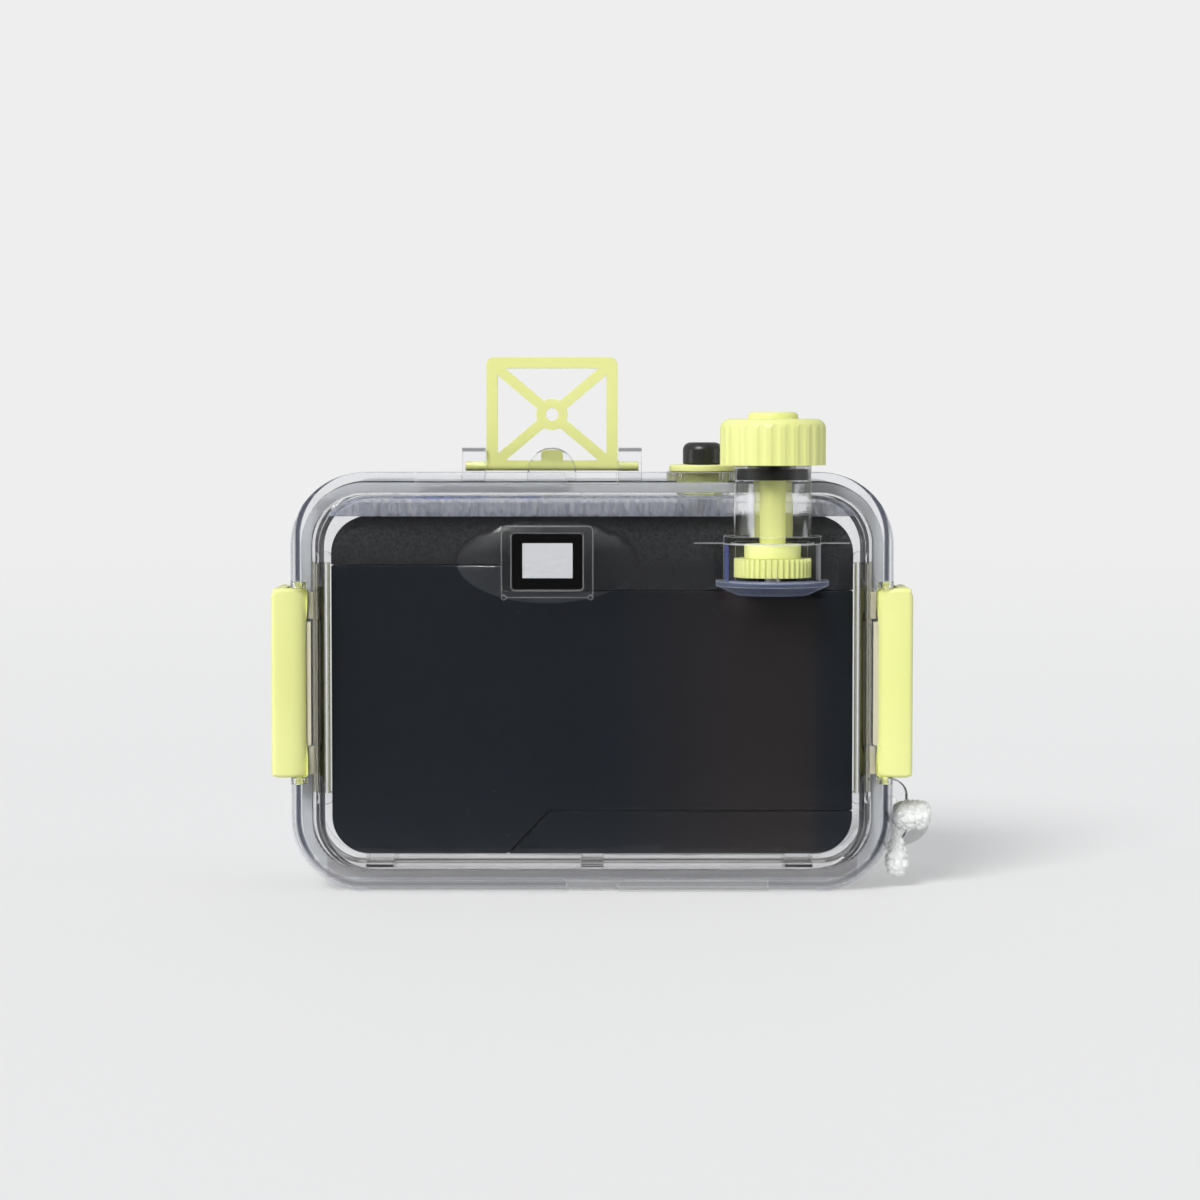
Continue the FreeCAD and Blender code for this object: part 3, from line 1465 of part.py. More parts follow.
NODES = {
    "front_shell": front_shell, "rear_cover": rear_cover, "main_seal": main_seal,
    "latch_left": latch_left, "latch_right": latch_right, "sight_frame": sight_frame,
    "shutter_gland": shutter_gland, "shutter_seal": shutter_seal, "shutter_button": shutter_button,
    "shutter_plunger": shutter_plunger, "shutter_pusher": shutter_pusher, "shutter_spring": shutter_spring,
    "advance_knob": advance_knob, "knob_seal": knob_seal, "advance_shaft": advance_shaft,
    "drive_wheel": drive_wheel, "wheel_screw": wheel_screw, "film_wheel": film_wheel,
    "takeup_spool": takeup_spool, "camera_top_cover": camera_top_cover,
    "finder_rear_glass": lambda: finder_glass(camera_back_y),
    "finder_front_glass": lambda: finder_glass(camera_front_y - finder_lens),
    "finder_mask": finder_mask, "camera_back_door": camera_back_door,
    "camera_bottom_cover": camera_bottom_cover, "camera_front_cover": camera_front_cover,
    "camera_chassis": camera_chassis, "sprocket": sprocket, "pressure_plate": pressure_plate,
    "pressure_spring": pressure_spring, "lens_barrel": lens_barrel, "front_lens": front_lens,
    "rear_lens": rear_lens, "shutter_blade": shutter_blade, "blade_pin": blade_pin,
    "camera_button": camera_button, "counter_dial": counter_dial, "rewind_knob": rewind_knob,
    "rewind_fork": rewind_fork, "rewind_release": rewind_release, "strap_knot": strap_knot,
    "strap_cord": strap_cord, "strap_hank": strap_hank, "strap_tie": strap_tie,
}


def main():
    os.makedirs("parts", exist_ok=True)
    for name, make in NODES.items():
        shape = make()
        shape.exportStep("parts/%s.step" % name)
        print(name, "valid" if shape.isValid() else "NOT VALID", round(shape.Volume, 2))


main()
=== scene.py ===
import math

import bpy
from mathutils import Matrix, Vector, noise


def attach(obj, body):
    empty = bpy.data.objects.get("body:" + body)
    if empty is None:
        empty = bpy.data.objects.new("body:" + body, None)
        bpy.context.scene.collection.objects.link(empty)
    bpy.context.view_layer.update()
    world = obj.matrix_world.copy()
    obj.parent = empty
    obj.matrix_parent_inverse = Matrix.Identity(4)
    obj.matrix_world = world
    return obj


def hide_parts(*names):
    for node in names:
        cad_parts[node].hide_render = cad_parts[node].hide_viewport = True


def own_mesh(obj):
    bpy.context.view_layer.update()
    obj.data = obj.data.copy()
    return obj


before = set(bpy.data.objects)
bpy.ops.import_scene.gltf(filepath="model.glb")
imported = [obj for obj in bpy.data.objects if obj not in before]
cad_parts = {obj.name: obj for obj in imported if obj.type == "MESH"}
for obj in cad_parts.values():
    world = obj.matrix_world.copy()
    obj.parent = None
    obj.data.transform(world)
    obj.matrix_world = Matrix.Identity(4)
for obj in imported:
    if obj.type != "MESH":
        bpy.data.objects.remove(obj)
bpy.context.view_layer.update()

MM = 0.001

# Camera: the photograph looks almost straight at the back of the case
VIEW_DISTANCE = 0.70
VIEW_HEIGHT = 0.098
VIEW_MIDDLE = Vector((0.0016, 0.0, 0.0595))
PICTURE_WIDTH = 0.2448

# Studio
BACKGROUND = (0.855, 0.855, 0.86, 1)
LIGHT_COLOUR = (0.50, 0.51, 0.53, 1)
ROOM_DARK = 0.02
ROOM_DIM = 0.08
MIRROR_FROM = -0.04
MIRROR_TO = -0.08
DARK_FROM = -0.80
DARK_TO = -0.25
NICHE_FROM = -0.95
NICHE_TO = -0.88
KEY_TOWARDS = (0.42, 0.80, -0.70)
KEY_SOFTNESS = 24.0
KEY_STRENGTH = 3.0
EDGE_TOWARDS = (0.25, -0.10)
EDGE_SOFTNESS = 8.0
EDGE_STRENGTH = 0.25
FLOOR_EDGE = 1.6
FLOOR_FADE = 0.30
FLOOR_NEAR = -0.31
FLOOR_NEAR_FADE = 0.05
FLOOR_GLOW = (0.845, 0.845, 0.845, 1)
FLOOR_GLOW_SHARE = 0.40

# Width of the painted highlight along a piece's edges
EDGE_HIGHLIGHT_WIDTH = 0.0003

# Places on the clear case that have their own look, in metres
KNOB_AXIS = (0.0364, -0.0085)
BOSS_FOOT = 0.0729
BOSS_REACH = 0.0080
BESIDE_SHAFT_LIGHT_TOP = 0.0835
WELL_REACH = 0.0118
BESIDE_SHAFT = 0.0040
EAR_FOOT = 0.0858
CHANNEL = (0.0541, 0.0569)
CHANNEL_DEPTH = (-0.0080, -0.0029)
CHANNEL_HEIGHT = (0.0205, 0.0675)
FOOT_BAND = (0.0030, 0.0074)
ROOF_BAND = (0.0768, 0.0814)
TRAY_FRONT = -0.0040
RIM_HEIGHT = (0.0062, 0.0812)
RIM_DEPTH = (-0.0036, 0.0002)
TRAY_FACE = -0.0064
PAST_TRAY_FACE = -0.0068
DISH_HEIGHT = (0.0600, 0.0641)
DISH_REACH = 0.0140
EAR_TOP = (0.0894, 0.0906)
SHELF_LINE = (0.07125, 0.07150)
SHELF_HALF = 0.0158
GAP_LINE = (0.0531, 0.0537)
FLANGE_HALF = 0.0614
FLANGE_MIDDLE = 0.0437
FLANGE_CORNER = 0.0150
FLANGE_EDGE = (-0.0001, 0.0006)
FLANGE_LINE = (0.0009, 0.0018)
FLANGE_LINE_FADE = (0.0010, 0.0100)
WELL_LINE = (0.0090, 0.0096)
WELL_LINE_HEIGHT = (0.0638, 0.0712)
FRINGE_FOOT = 0.0802
BORE_WALL = (0.0023, 0.0027)
SHAFT_IN_BORE = 0.00262

# Colours of the clear case: its own colour and the painted shade and painted reflections seen through it, then the
# painted highlights, painted light and painted shade laid over it
CLEAR = (0.985, 0.988, 0.995, 1)
# Painted reflection of the dark camera in the channel and the foot band; painted shade lines in the gap and along
# the flange
CHANNEL_DARK_REFLECTION = (0.19, 0.18, 0.12, 1)
GAP_SHADE = (0.52, 0.52, 0.40, 1)
FLANGE_LINE_SHADE = (0.46, 0.47, 0.51, 1)
FOOT_DARK_REFLECTION = (0.50, 0.46, 0.44, 1)
# Painted light laid over the plastic: white painted highlights on edges, beside the shaft and on the shelf line;
# grey painted shade on the flange edge; grey with blue patches as painted light in the band over the camera; the
# latch pads in painted shade; blue and white painted reflections in the gear well and its dish
HIGHLIGHT_WHITE = (0.85, 0.86, 0.90, 1)
FLANGE_EDGE_SHADE = (0.30, 0.31, 0.34, 1)
ROOF_PAINTED_LIGHT = (0.25, 0.26, 0.31, 1)
FRINGE_PAINTED_BLUE = (0.06, 0.10, 0.28, 1)
PAD_IN_SHADE = (0.62, 0.58, 0.43, 1)
DISH_REFLECTION_BLUE = (0.26, 0.30, 0.50, 1)
WELL_REFLECTION_BLUE = (0.10, 0.13, 0.38, 1)
WELL_HIGHLIGHT_WHITE = (0.55, 0.57, 0.62, 1)

# How a CAD mesh is cleaned, in metres and degrees
MERGE_WITHIN = 0.000002
FLAT_WITHIN = 0.5
ON_SEAT = 0.000005
SMOOTH_MARGIN = 5

# Seal: it has a hair of air round it, which clear plastic needs to show it
SEAL_MIDDLE = -0.00075
SEAL_AIR = 0.00003

# Latches, in metres
LATCH_BOTTOM = 0.0233
LATCH_TOP = 0.0617
LATCH_OUTER = 0.0651
LATCH_INNER = 0.0582
LATCH_CORNER = 0.0013
LATCH_CUTS = 5
LATCH_SLOPE = 0.0024
LATCH_SLOPE_DROP = 0.0014
LATCH_FACE = -0.0050
PAD_REACH = (0.0564, 0.0579)
PAD_FRONT = -0.0031
LOW_PAD = (0.0238, 0.0299)
HIGH_PAD = (0.0553, 0.0614)
STRIP_REACH = (0.0572, 0.0585)
STRIP_FRONT = -0.0039

# The camera's back is warmer than blue between these places
WARM_RISE = (0.005, 0.030)
WARM_FALL = (0.0478, 0.0440)

# Painted highlight: the camera's top cover is painted lighter between these heights
PAINTED_SHEEN_RISE = (0.0660, 0.0725)
PAINTED_SHEEN_FALL = (0.0765, 0.0735)

# The viewfinder's oval
OVAL_MIDDLE = (-0.0091, 0.0676)
OVAL_HALF = (0.0186, 0.0086)

# The air over the rewind pin at the end of its stroke
PIN_ROOM = 0.00005

# Strap, in metres
CORD_DIAMETER = 0.0026
BRAID_ALONG = 900.0
BRAID_AROUND = 3.0

# Its route behind the case and its hank on the floor, in millimetres
ROUTE = (
    (67.6, 12.8, 13.8), (67.6, 20.8, 13.8), (71.5, 30.0, 9.6), (68.5, 41.0, 5.0), (58.5, 50.0, 1.95),
)
HANK_RIGHT = 41.0
HANK_FRONT = 50.0
HANK_RUN = 39.0
HANK_INNER = 7.8
HANK_STEP = 1.55
HANK_LOOPS = 2
CORD_FLOOR = 1.95
HALF_TURN_STEPS = 6

# Knot on the strap lug, in millimetres
BARREL_START = (61.75, 3.8, 15.0)
BARREL_END = (69.85, 3.8, 15.0)
BARREL_RADIUS = 3.05
TAIL_TOP = (62.5, 3.8, 13.4)
TAIL_FOOT = (62.95, 3.8, 2.0)
TAIL_SHAPE = ((0.0, 0.9), (0.15, 1.05), (0.4, 1.6), (0.62, 2.25), (0.78, 2.42), (0.9, 1.9), (0.97, 1.1), (1.0, 0.0))
LOOP_MIDDLE = (64.6, 8.7, 13.8)
LOOP_HALF = (2.6, 2.7)
LOOP_SQUARE = 5.0
LOOP_RADIUS = 1.05
CREASE_SIZE = 1.5
CREASE_DEPTH = 0.95
KNOT_AROUND = 96
KNOT_ALONG = 80


class Wire:
    """A shader socket that can be used in sums."""

    def __init__(self, tree, socket):
        self.tree = tree
        self.socket = socket

    def _math(self, kind, other, swap=False):
        node = self.tree.nodes.new("ShaderNodeMath")
        node.operation = kind
        pair = (other, self) if swap else (self, other)
        for k, value in enumerate(pair):
            if isinstance(value, Wire):
                self.tree.links.new(value.socket, node.inputs[k])
            else:
                node.inputs[k].default_value = value
        return Wire(self.tree, node.outputs[0])

    def __add__(self, other):
        return self._math("ADD", other)

    __radd__ = __add__

    def __mul__(self, other):
        return self._math("MULTIPLY", other)

    __rmul__ = __mul__

    def __sub__(self, other):
        return self._math("SUBTRACT", other)

    def __rsub__(self, other):
        return self._math("SUBTRACT", other, swap=True)

    def __truediv__(self, other):
        return self._math("DIVIDE", other)

    def power(self, other):
        return self._math("POWER", other)

    def above(self, other):
        return self._math("GREATER_THAN", other)

    def largest(self, other):
        return self._math("MAXIMUM", other)

    def within(self, low, high):
        """1 between low and high, 0 outside."""
        return self.above(low) * (1 - self.above(high))

    def smallest(self, other):
        return self._math("MINIMUM", other)

    def distance(self):
        return self._math("ABSOLUTE", 0.0)


class Finish:
    """A material and the nodes that make it."""

    def __init__(self, name):
        self.use(bpy.data.materials.new(name))

    @classmethod
    def on(cls, world):
        made = cls.__new__(cls)
        made.use(world)
        return made

    def use(self, owner):
        self.material = owner
        owner.use_nodes = True
        self.tree = owner.node_tree
        self.tree.nodes.clear()

    def node(self, kind, settings=None, out=0, **values):
        """One node and its output out; values are numbers, colours or wires for its inputs.

        An input is named with _ for spaces, or i and its number where names repeat.
        """
        made = self.tree.nodes.new(kind)
        for name, value in (settings or {}).items():
            setattr(made, name, value)
        for name, value in values.items():
            numbered = name[0] == "i" and name[1:].isdigit()
            socket = made.inputs[int(name[1:])] if numbered else made.inputs[name.replace("_", " ")]
            if isinstance(value, Wire):
                self.tree.links.new(value.socket, socket)
            else:
                socket.default_value = value
        return Wire(self.tree, made.outputs[out])

    def place(self, scale=(1, 1, 1)):
        """Object coordinates in metres, stretched by scale."""
        here = self.node("ShaderNodeTexCoord", out="Object")
        return self.node("ShaderNodeMapping", Vector=here, Scale=scale)

    def axis(self, name, place=None):
        """The coordinate X, Y or Z of a place, or of the point itself."""
        return self.node("ShaderNodeSeparateXYZ", out=name, Vector=place or self.place())

    def noise(self, size, detail=3.0, rough=0.5, stretch=(1, 1, 1)):
        """Soft random pattern from 0 to 1 whose blobs are about size metres across."""
        return self.node("ShaderNodeTexNoise", Vector=self.place(stretch), Scale=1.0 / size, Detail=detail,
                         Roughness=rough)

    def ramp(self, value, low, high):
        """value stretched so that low gives 0 and high gives 1."""
        return self.node("ShaderNodeMapRange", Value=value, From_Min=low, From_Max=high)

    def blend(self, share, first, second):
        """A colour between two."""
        made = self.tree.nodes.new("ShaderNodeMix")
        made.data_type = "RGBA"
        for index, value in ((0, share), (6, first), (7, second)):
            if isinstance(value, Wire):
                self.tree.links.new(value.socket, made.inputs[index])
            else:
                made.inputs[index].default_value = value
        return Wire(self.tree, made.outputs[2])

    def bump(self, height, strength, distance):
        return self.node("ShaderNodeBump", Height=height, Strength=strength, Distance=distance)

    def surface(self, **values):
        return self.node("ShaderNodeBsdfPrincipled", **values)

    def finish_world(self, shader):
        output = self.tree.nodes.new("ShaderNodeOutputWorld")
        self.tree.links.new(shader.socket, output.inputs["Surface"])

    def done(self, shader):
        output = self.tree.nodes.new("ShaderNodeOutputMaterial")
        self.tree.links.new(shader.socket, output.inputs["Surface"])
        return self.material


def grey(value):
    """A grey of this brightness."""
    return (value, value, value, 1.0)


def depth_in_flange(x, z):
    """How far a point lies inside the flange's outline, in metres."""
    across = x.distance() - (FLANGE_HALF - FLANGE_CORNER)
    up = (z - FLANGE_MIDDLE).distance() - (FLANGE_MIDDLE - FLANGE_CORNER)
    round_part = (across.largest(0.0).power(2) + up.largest(0.0).power(2)).power(0.5)
    return FLANGE_CORNER - round_part - across.largest(up).smallest(0.0)


def case_places(f):
    """Where the clear case looks different: a mask from 0 to 1 for each place, by name."""
    here = f.place()
    x, y, z = (f.axis(name, here) for name in "XYZ")
    beside_axis = (x - KNOB_AXIS[0]).distance()
    from_axis = ((x - KNOB_AXIS[0]).power(2) + (y - KNOB_AXIS[1]).power(2)).power(0.5)
    boss = (1 - from_axis.above(BOSS_REACH)) * z.above(BOSS_FOOT)
    well = (1 - from_axis.above(WELL_REACH)) * z.within(DISH_HEIGHT[0], BOSS_FOOT)
    in_tray = y.within(*CHANNEL_DEPTH)
    beside_camera = z.within(*CHANNEL_HEIGHT)
    within_tray = 1 - x.distance().above(CHANNEL[0])
    depth = depth_in_flange(x, z)
    rim = x.distance().above(CHANNEL[1]).largest(1 - z.within(*RIM_HEIGHT))
    pads = x.distance().within(*PAD_REACH) * (1 - y.above(PAD_FRONT))
    shelf = z.within(*SHELF_LINE) * (1 - beside_axis.above(SHELF_HALF)) * (1 - y.above(TRAY_FACE))
    roof = z.within(*ROOF_BAND) * (1 - y.above(TRAY_FRONT)) * within_tray * (1 - boss)
    patches = f.ramp(f.noise(0.014, detail=1.0, stretch=(1, 1, 0.2)), 0.53, 0.62)
    line = depth.within(*FLANGE_LINE) * y.within(*RIM_DEPTH) * (1 - boss)
    return {
        "boss": boss,
        "beside shaft": boss * beside_axis.above(BESIDE_SHAFT) * (1 - z.above(BESIDE_SHAFT_LIGHT_TOP)),
        "well": well,
        "well line": beside_axis.within(*WELL_LINE) * well * z.within(*WELL_LINE_HEIGHT),
        "right of axis": x.above(KNOB_AXIS[0]),
        "ears": z.above(EAR_FOOT) * (1 - boss),
        "ear top": z.within(*EAR_TOP),
        "channel": x.distance().within(*CHANNEL) * in_tray * z.within(*CHANNEL_HEIGHT),
        "gap": x.distance().within(*GAP_LINE) * beside_camera,
        "foot": z.within(*FOOT_BAND) * in_tray * within_tray,
        "roof": roof,
        "fringe": roof * z.above(FRINGE_FOOT) * patches,
        "over seal": rim * y.within(*RIM_DEPTH) * (1 - boss),
        "flange edge": depth.within(*FLANGE_EDGE),
        "flange line": line * (0.3 + 0.7 * f.ramp(z, *FLANGE_LINE_FADE)),
        "pads": pads * z.within(*LOW_PAD).largest(z.within(*HIGH_PAD)),
        "dish": z.within(*DISH_HEIGHT) * (1 - from_axis.above(DISH_REACH)) * (1 - y.above(PAST_TRAY_FACE)),
        "shelf": shelf * (1 - boss),
    }


def clear_case():
    """Polished polycarbonate with faint flow marks, wavy round the knob's boss.

    Ears, gear well and the rim over the seal are thin and clear. Painted shade, painted reflections, painted
    highlights and painted light stand for what the plastic's steps and rounded edges do to the light behind them.
    """
    f = Finish("clear case")
    at = case_places(f)
    flow = f.noise(0.012, detail=2.0, stretch=(1, 1, 2.5))
    waves = f.noise(0.0035, detail=1.5, stretch=(1, 1, 0.3))
    streaks = f.ramp(f.noise(0.0011, detail=3.0, stretch=(1, 1, 0.25)), 0.35, 0.65)
    normal = f.bump(flow * 0.15 + waves * at["boss"] * 1.6 + streaks * at["roof"] * 0.4, 0.5, 0.0004)
    # Painted shade and painted reflections blended into the glass's own clear colour
    glass_and_painted_shade = CLEAR
    for share, colour in ((at["channel"], CHANNEL_DARK_REFLECTION), (at["gap"], GAP_SHADE), (at["flange line"], FLANGE_LINE_SHADE),
                          (at["foot"] * 0.5, FOOT_DARK_REFLECTION)):
        glass_and_painted_shade = f.blend(share, glass_and_painted_shade, colour)
    glass = f.surface(Base_Color=glass_and_painted_shade, Roughness=0.015, IOR=1.52, Transmission_Weight=1.0, Normal=normal)
    straight = f.node("ShaderNodeBsdfTransparent", Color=glass_and_painted_shade)
    open_share = (at["well"] * 0.97).largest(at["boss"] * 0.35).largest(at["ears"] * (0.8 - 0.45 * at["ear top"]))
    open_share = open_share.largest(at["over seal"] * 0.7)
    thin = f.node("ShaderNodeMixShader", i0=open_share, i1=glass, i2=straight)
    # Painted highlights on edges, painted reflections in the well and dish, painted light over the camera's top,
    # painted shade on the flange edge and pads
    edge = painted_edge_highlight(f, EDGE_HIGHLIGHT_WIDTH)
    well_line_light = f.blend(at["right of axis"], WELL_REFLECTION_BLUE, WELL_HIGHLIGHT_WHITE)
    painted_light_colour = HIGHLIGHT_WHITE
    for share, colour in ((at["roof"], ROOF_PAINTED_LIGHT), (at["fringe"] * 0.7, FRINGE_PAINTED_BLUE),
                          (at["well line"], well_line_light), (at["flange edge"], FLANGE_EDGE_SHADE),
                          (at["pads"], PAD_IN_SHADE), (at["dish"] * (1 - edge), DISH_REFLECTION_BLUE)):
        painted_light_colour = f.blend(share, painted_light_colour, colour)
    painted_light = f.surface(Base_Color=painted_light_colour, Roughness=0.5, Subsurface_Weight=1.0,
                     Subsurface_Radius=(0.004, 0.004, 0.004), Subsurface_Scale=1.0)
    # How much of the painted light layer lies over the plastic at each place
    painted_light_share = edge * 0.42 + at["beside shaft"] * 0.6 * f.ramp(waves, 0.48, 0.66)
    painted_light_share = painted_light_share + at["roof"] * (0.40 + 0.45 * streaks)
    for place, share in (("pads", 0.9), ("dish", 0.25), ("shelf", 0.35), ("well line", 0.45)):
        painted_light_share = painted_light_share.largest(at[place] * share)
    return f.done(f.node("ShaderNodeMixShader", i0=painted_light_share, i1=thin, i2=painted_light))


def finder_window():
    """Thin clear acrylic of the viewfinder and the lens."""
    f = Finish("clear acrylic")
    dust = f.noise(0.0006, detail=2.0)
    return f.done(f.surface(Base_Color=(0.98, 0.985, 0.99, 1), Roughness=f.ramp(dust, 0.4, 1.2) * 0.05,
                            IOR=1.45, Transmission_Weight=1.0))


def yellow_plastic(name="lemon plastic", bright=1.0):
    """Satin moulded plastic, pale lemon, a little deeper in soft random patches."""
    f = Finish(name)
    cloud = f.noise(0.03, detail=2.0)
    grain = f.noise(0.0002, detail=3.0)
    deep = (0.77 * bright, 0.80 * bright, 0.295 * bright, 1)
    pale = (0.80 * bright, 0.825 * bright, 0.33 * bright, 1)
    colour = f.blend(f.ramp(cloud, 0.35, 0.65), deep, pale)
    normal = f.bump(grain, 0.10, 0.00004)
    rough = 0.36 + 0.10 * f.ramp(grain, 0.3, 0.7)
    return f.done(f.surface(Base_Color=colour, Roughness=rough, IOR=1.47, Normal=normal,
                            Subsurface_Weight=0.12, Subsurface_Radius=(0.002, 0.002, 0.0008), Subsurface_Scale=1.0))


def on_oval(f):
    """1 on the viewfinder's oval, 0 elsewhere."""
    here = f.place()
    across = (f.axis("X", here) - OVAL_MIDDLE[0]) / OVAL_HALF[0]
    up = (f.axis("Z", here) - OVAL_MIDDLE[1]) / OVAL_HALF[1]
    return 1 - (across.power(2) + up.power(2)).above(1.0)


def painted_edge_highlight(f, width):
    """1 on the edges of a piece, 0 on its flat and gently curved faces; it places the painted highlight on edges.
    """
    rounded = f.node("ShaderNodeBevel", Radius=width)
    flat = f.node("ShaderNodeNewGeometry", out="Normal")
    bend = f.node("ShaderNodeVectorMath", {"operation": "DOT_PRODUCT"}, out="Value", i0=rounded, i1=flat)
    return f.ramp(bend, 0.99, 0.90)


def black_door():
    """Smooth satin black of the camera's back, slightly blue, warmer to the right, with a few specks of dust; the
    viewfinder oval's lower half is painted lighter as a painted reflection of the floor, and the piece's edges get
    a painted highlight.
    """
    f = Finish("camera back black")
    x = f.axis("X")
    warm = f.ramp(x, *WARM_RISE) * f.ramp(x, *WARM_FALL)
    colour = f.blend(warm, (0.0042, 0.0098, 0.0185, 1), (0.0260, 0.0200, 0.0215, 1))
    specks = f.noise(0.0007, detail=1.0).above(0.79)
    colour = f.blend(specks * 0.5, colour, grey(0.20))
    oval = on_oval(f)
    # Painted reflection: the oval's lower half painted lighter, as the bright floor it would mirror
    colour = f.blend(oval, colour, (0.050, 0.056, 0.066, 1))
    # Painted highlight along the edges
    colour = f.blend(painted_edge_highlight(f, EDGE_HIGHLIGHT_WIDTH) * 0.25, colour, grey(0.07))
    grain = f.noise(0.00025, detail=3.0)
    return f.done(f.surface(Base_Color=colour, Roughness=0.33 + 0.08 * f.noise(0.02), IOR=1.5,
                            Coat_Weight=oval * 0.9, Coat_Roughness=0.12, Coat_IOR=1.8,
                            Normal=f.bump(grain, 0.12, 0.00003)))


def black_grained():
    """Spark-textured black of the camera's top cover, smooth and glossy on the viewfinder's oval, with a lighter
    band across it as a painted highlight.
    """
    f = Finish("camera top black")
    oval = on_oval(f)
    grain = f.noise(0.00045, detail=4.0, rough=0.65)
    colour = f.blend(f.ramp(grain, 0.3, 0.8), (0.012, 0.014, 0.0165, 1), (0.028, 0.030, 0.035, 1))
    height = f.axis("Z")
    # Painted highlight: a lighter grainy band across the top cover
    painted_sheen = 0.8 * f.ramp(height, *PAINTED_SHEEN_RISE) * f.ramp(height, *PAINTED_SHEEN_FALL) * (1 - oval)
    colour = f.blend(painted_sheen * f.ramp(grain, 0.35, 0.75), colour, (0.085, 0.088, 0.095, 1))
    return f.done(f.surface(Base_Color=colour, Roughness=0.38 + 0.2 * f.ramp(grain, 0.3, 0.7), IOR=1.5,
                            Coat_Weight=oval * 0.5, Coat_Roughness=0.10, Coat_IOR=1.8,
                            Normal=f.bump(grain * (1 - 0.8 * oval), 0.75, 0.00012)))


def black_mask():
    """Black of the viewfinder's frame, with a painted highlight along its edges."""
    f = Finish("finder frame black")
    grain = f.noise(0.0004, detail=3.0)
    colour = f.blend(painted_edge_highlight(f, EDGE_HIGHLIGHT_WIDTH) * 0.6, f.blend(grain, grey(0.008), grey(0.014)), grey(0.20))
    return f.done(f.surface(Base_Color=colour, Roughness=0.40, IOR=1.45, Normal=f.bump(grain, 0.2, 0.00004)))


def black_plain():
    """Plain black of the pieces inside the camera."""
    f = Finish("inner black")
    grain = f.noise(0.0004, detail=3.0)
    return f.done(f.surface(Base_Color=f.blend(grain, grey(0.010), grey(0.018)), Roughness=0.45, IOR=1.45,
                            Normal=f.bump(grain, 0.2, 0.00004)))


def black_rubber():
    """Satin black rubber of the button and the seals on moving pieces."""
    f = Finish("black rubber")
    grain = f.noise(0.0003, detail=3.0)
    return f.done(f.surface(Base_Color=f.blend(grain, grey(0.014), grey(0.022)), Roughness=0.30 + 0.12 * grain,
                            IOR=1.5, Normal=f.bump(grain, 0.12, 0.00003)))


def seal_white():
    """Translucent white silicone."""
    f = Finish("seal silicone")
    grain = f.noise(0.001, detail=2.0)
    colour = f.blend(grain, (0.85, 0.86, 0.88, 1), (0.91, 0.92, 0.93, 1))
    skin = f.surface(Base_Color=colour, Roughness=0.32, IOR=1.42)
    through = f.node("ShaderNodeBsdfTranslucent", Color=colour)
    return f.done(f.node("ShaderNodeMixShader", i0=0.6, i1=skin, i2=through))


def steel():
    """Drawn steel with faint lines."""
    f = Finish("spring steel")
    lines = f.noise(0.0004, detail=2.0, stretch=(1, 1, 6))
    return f.done(f.surface(Base_Color=f.blend(lines, grey(0.52), grey(0.64)), Metallic=1.0,
                            Roughness=0.25 + 0.15 * lines))


def white_cord():
    """Glossy white braided cord."""
    f = Finish("white cord")
    along = f.node("ShaderNodeTexCoord", out="UV")
    u = f.axis("X", along)
    v = f.axis("Y", along)
    turn = 2 * math.pi
    right = f.node("ShaderNodeMath", {"operation": "SINE"}, i0=(u * BRAID_ALONG + v * BRAID_AROUND) * turn)
    left = f.node("ShaderNodeMath", {"operation": "SINE"}, i0=(u * BRAID_ALONG - v * BRAID_AROUND) * turn)
    height = right.largest(left)
    # Painted shade: the braid's low parts are painted darker than its strands' crowns
    colour = f.blend(f.ramp(height, -1.0, 1.0), grey(0.86), grey(0.97))
    skin = f.surface(Base_Color=colour, Roughness=0.28, IOR=1.5, Normal=f.bump(height, 0.5, 0.0001))
    through = f.node("ShaderNodeBsdfTranslucent", Color=colour)
    return f.done(f.node("ShaderNodeMixShader", i0=0.5, i1=skin, i2=through))


def crumpled_white():
    """Glossy white wrapped cord, with fine wrinkles."""
    f = Finish("crumpled white")
    folds = f.noise(0.0007, detail=4.0, rough=0.6)
    # Painted shade: the wrinkles' hollows are painted a darker greenish grey
    colour = f.blend(f.ramp(folds, 0.3, 0.7), (0.80, 0.82, 0.79, 1), (0.93, 0.93, 0.93, 1))
    return f.done(f.surface(Base_Color=colour, Roughness=0.16, IOR=1.5, Normal=f.bump(folds, 0.6, 0.0002),
                            Subsurface_Weight=0.5, Subsurface_Radius=(0.002, 0.002, 0.002), Subsurface_Scale=1.0))


def paper_band():
    """Dull white paper."""
    f = Finish("paper band")
    grain = f.noise(0.0008, detail=4.0)
    return f.done(f.surface(Base_Color=f.blend(grain, grey(0.70), grey(0.80)), Roughness=0.8,
                            Normal=f.bump(grain, 0.3, 0.00005)))


def only(objects):
    """These objects selected, and nothing else."""
    bpy.ops.object.select_all(action="DESELECT")
    for o in objects:
        o.select_set(True)
    bpy.context.view_layer.objects.active = objects[0]


def apply_modifier(piece, kind, **settings):
    """Puts a modifier on a piece and applies it."""
    only([piece])
    made = piece.modifiers.new(kind.lower(), kind)
    for name, value in settings.items():
        setattr(made, name, value)
    bpy.ops.object.modifier_apply(modifier=made.name)


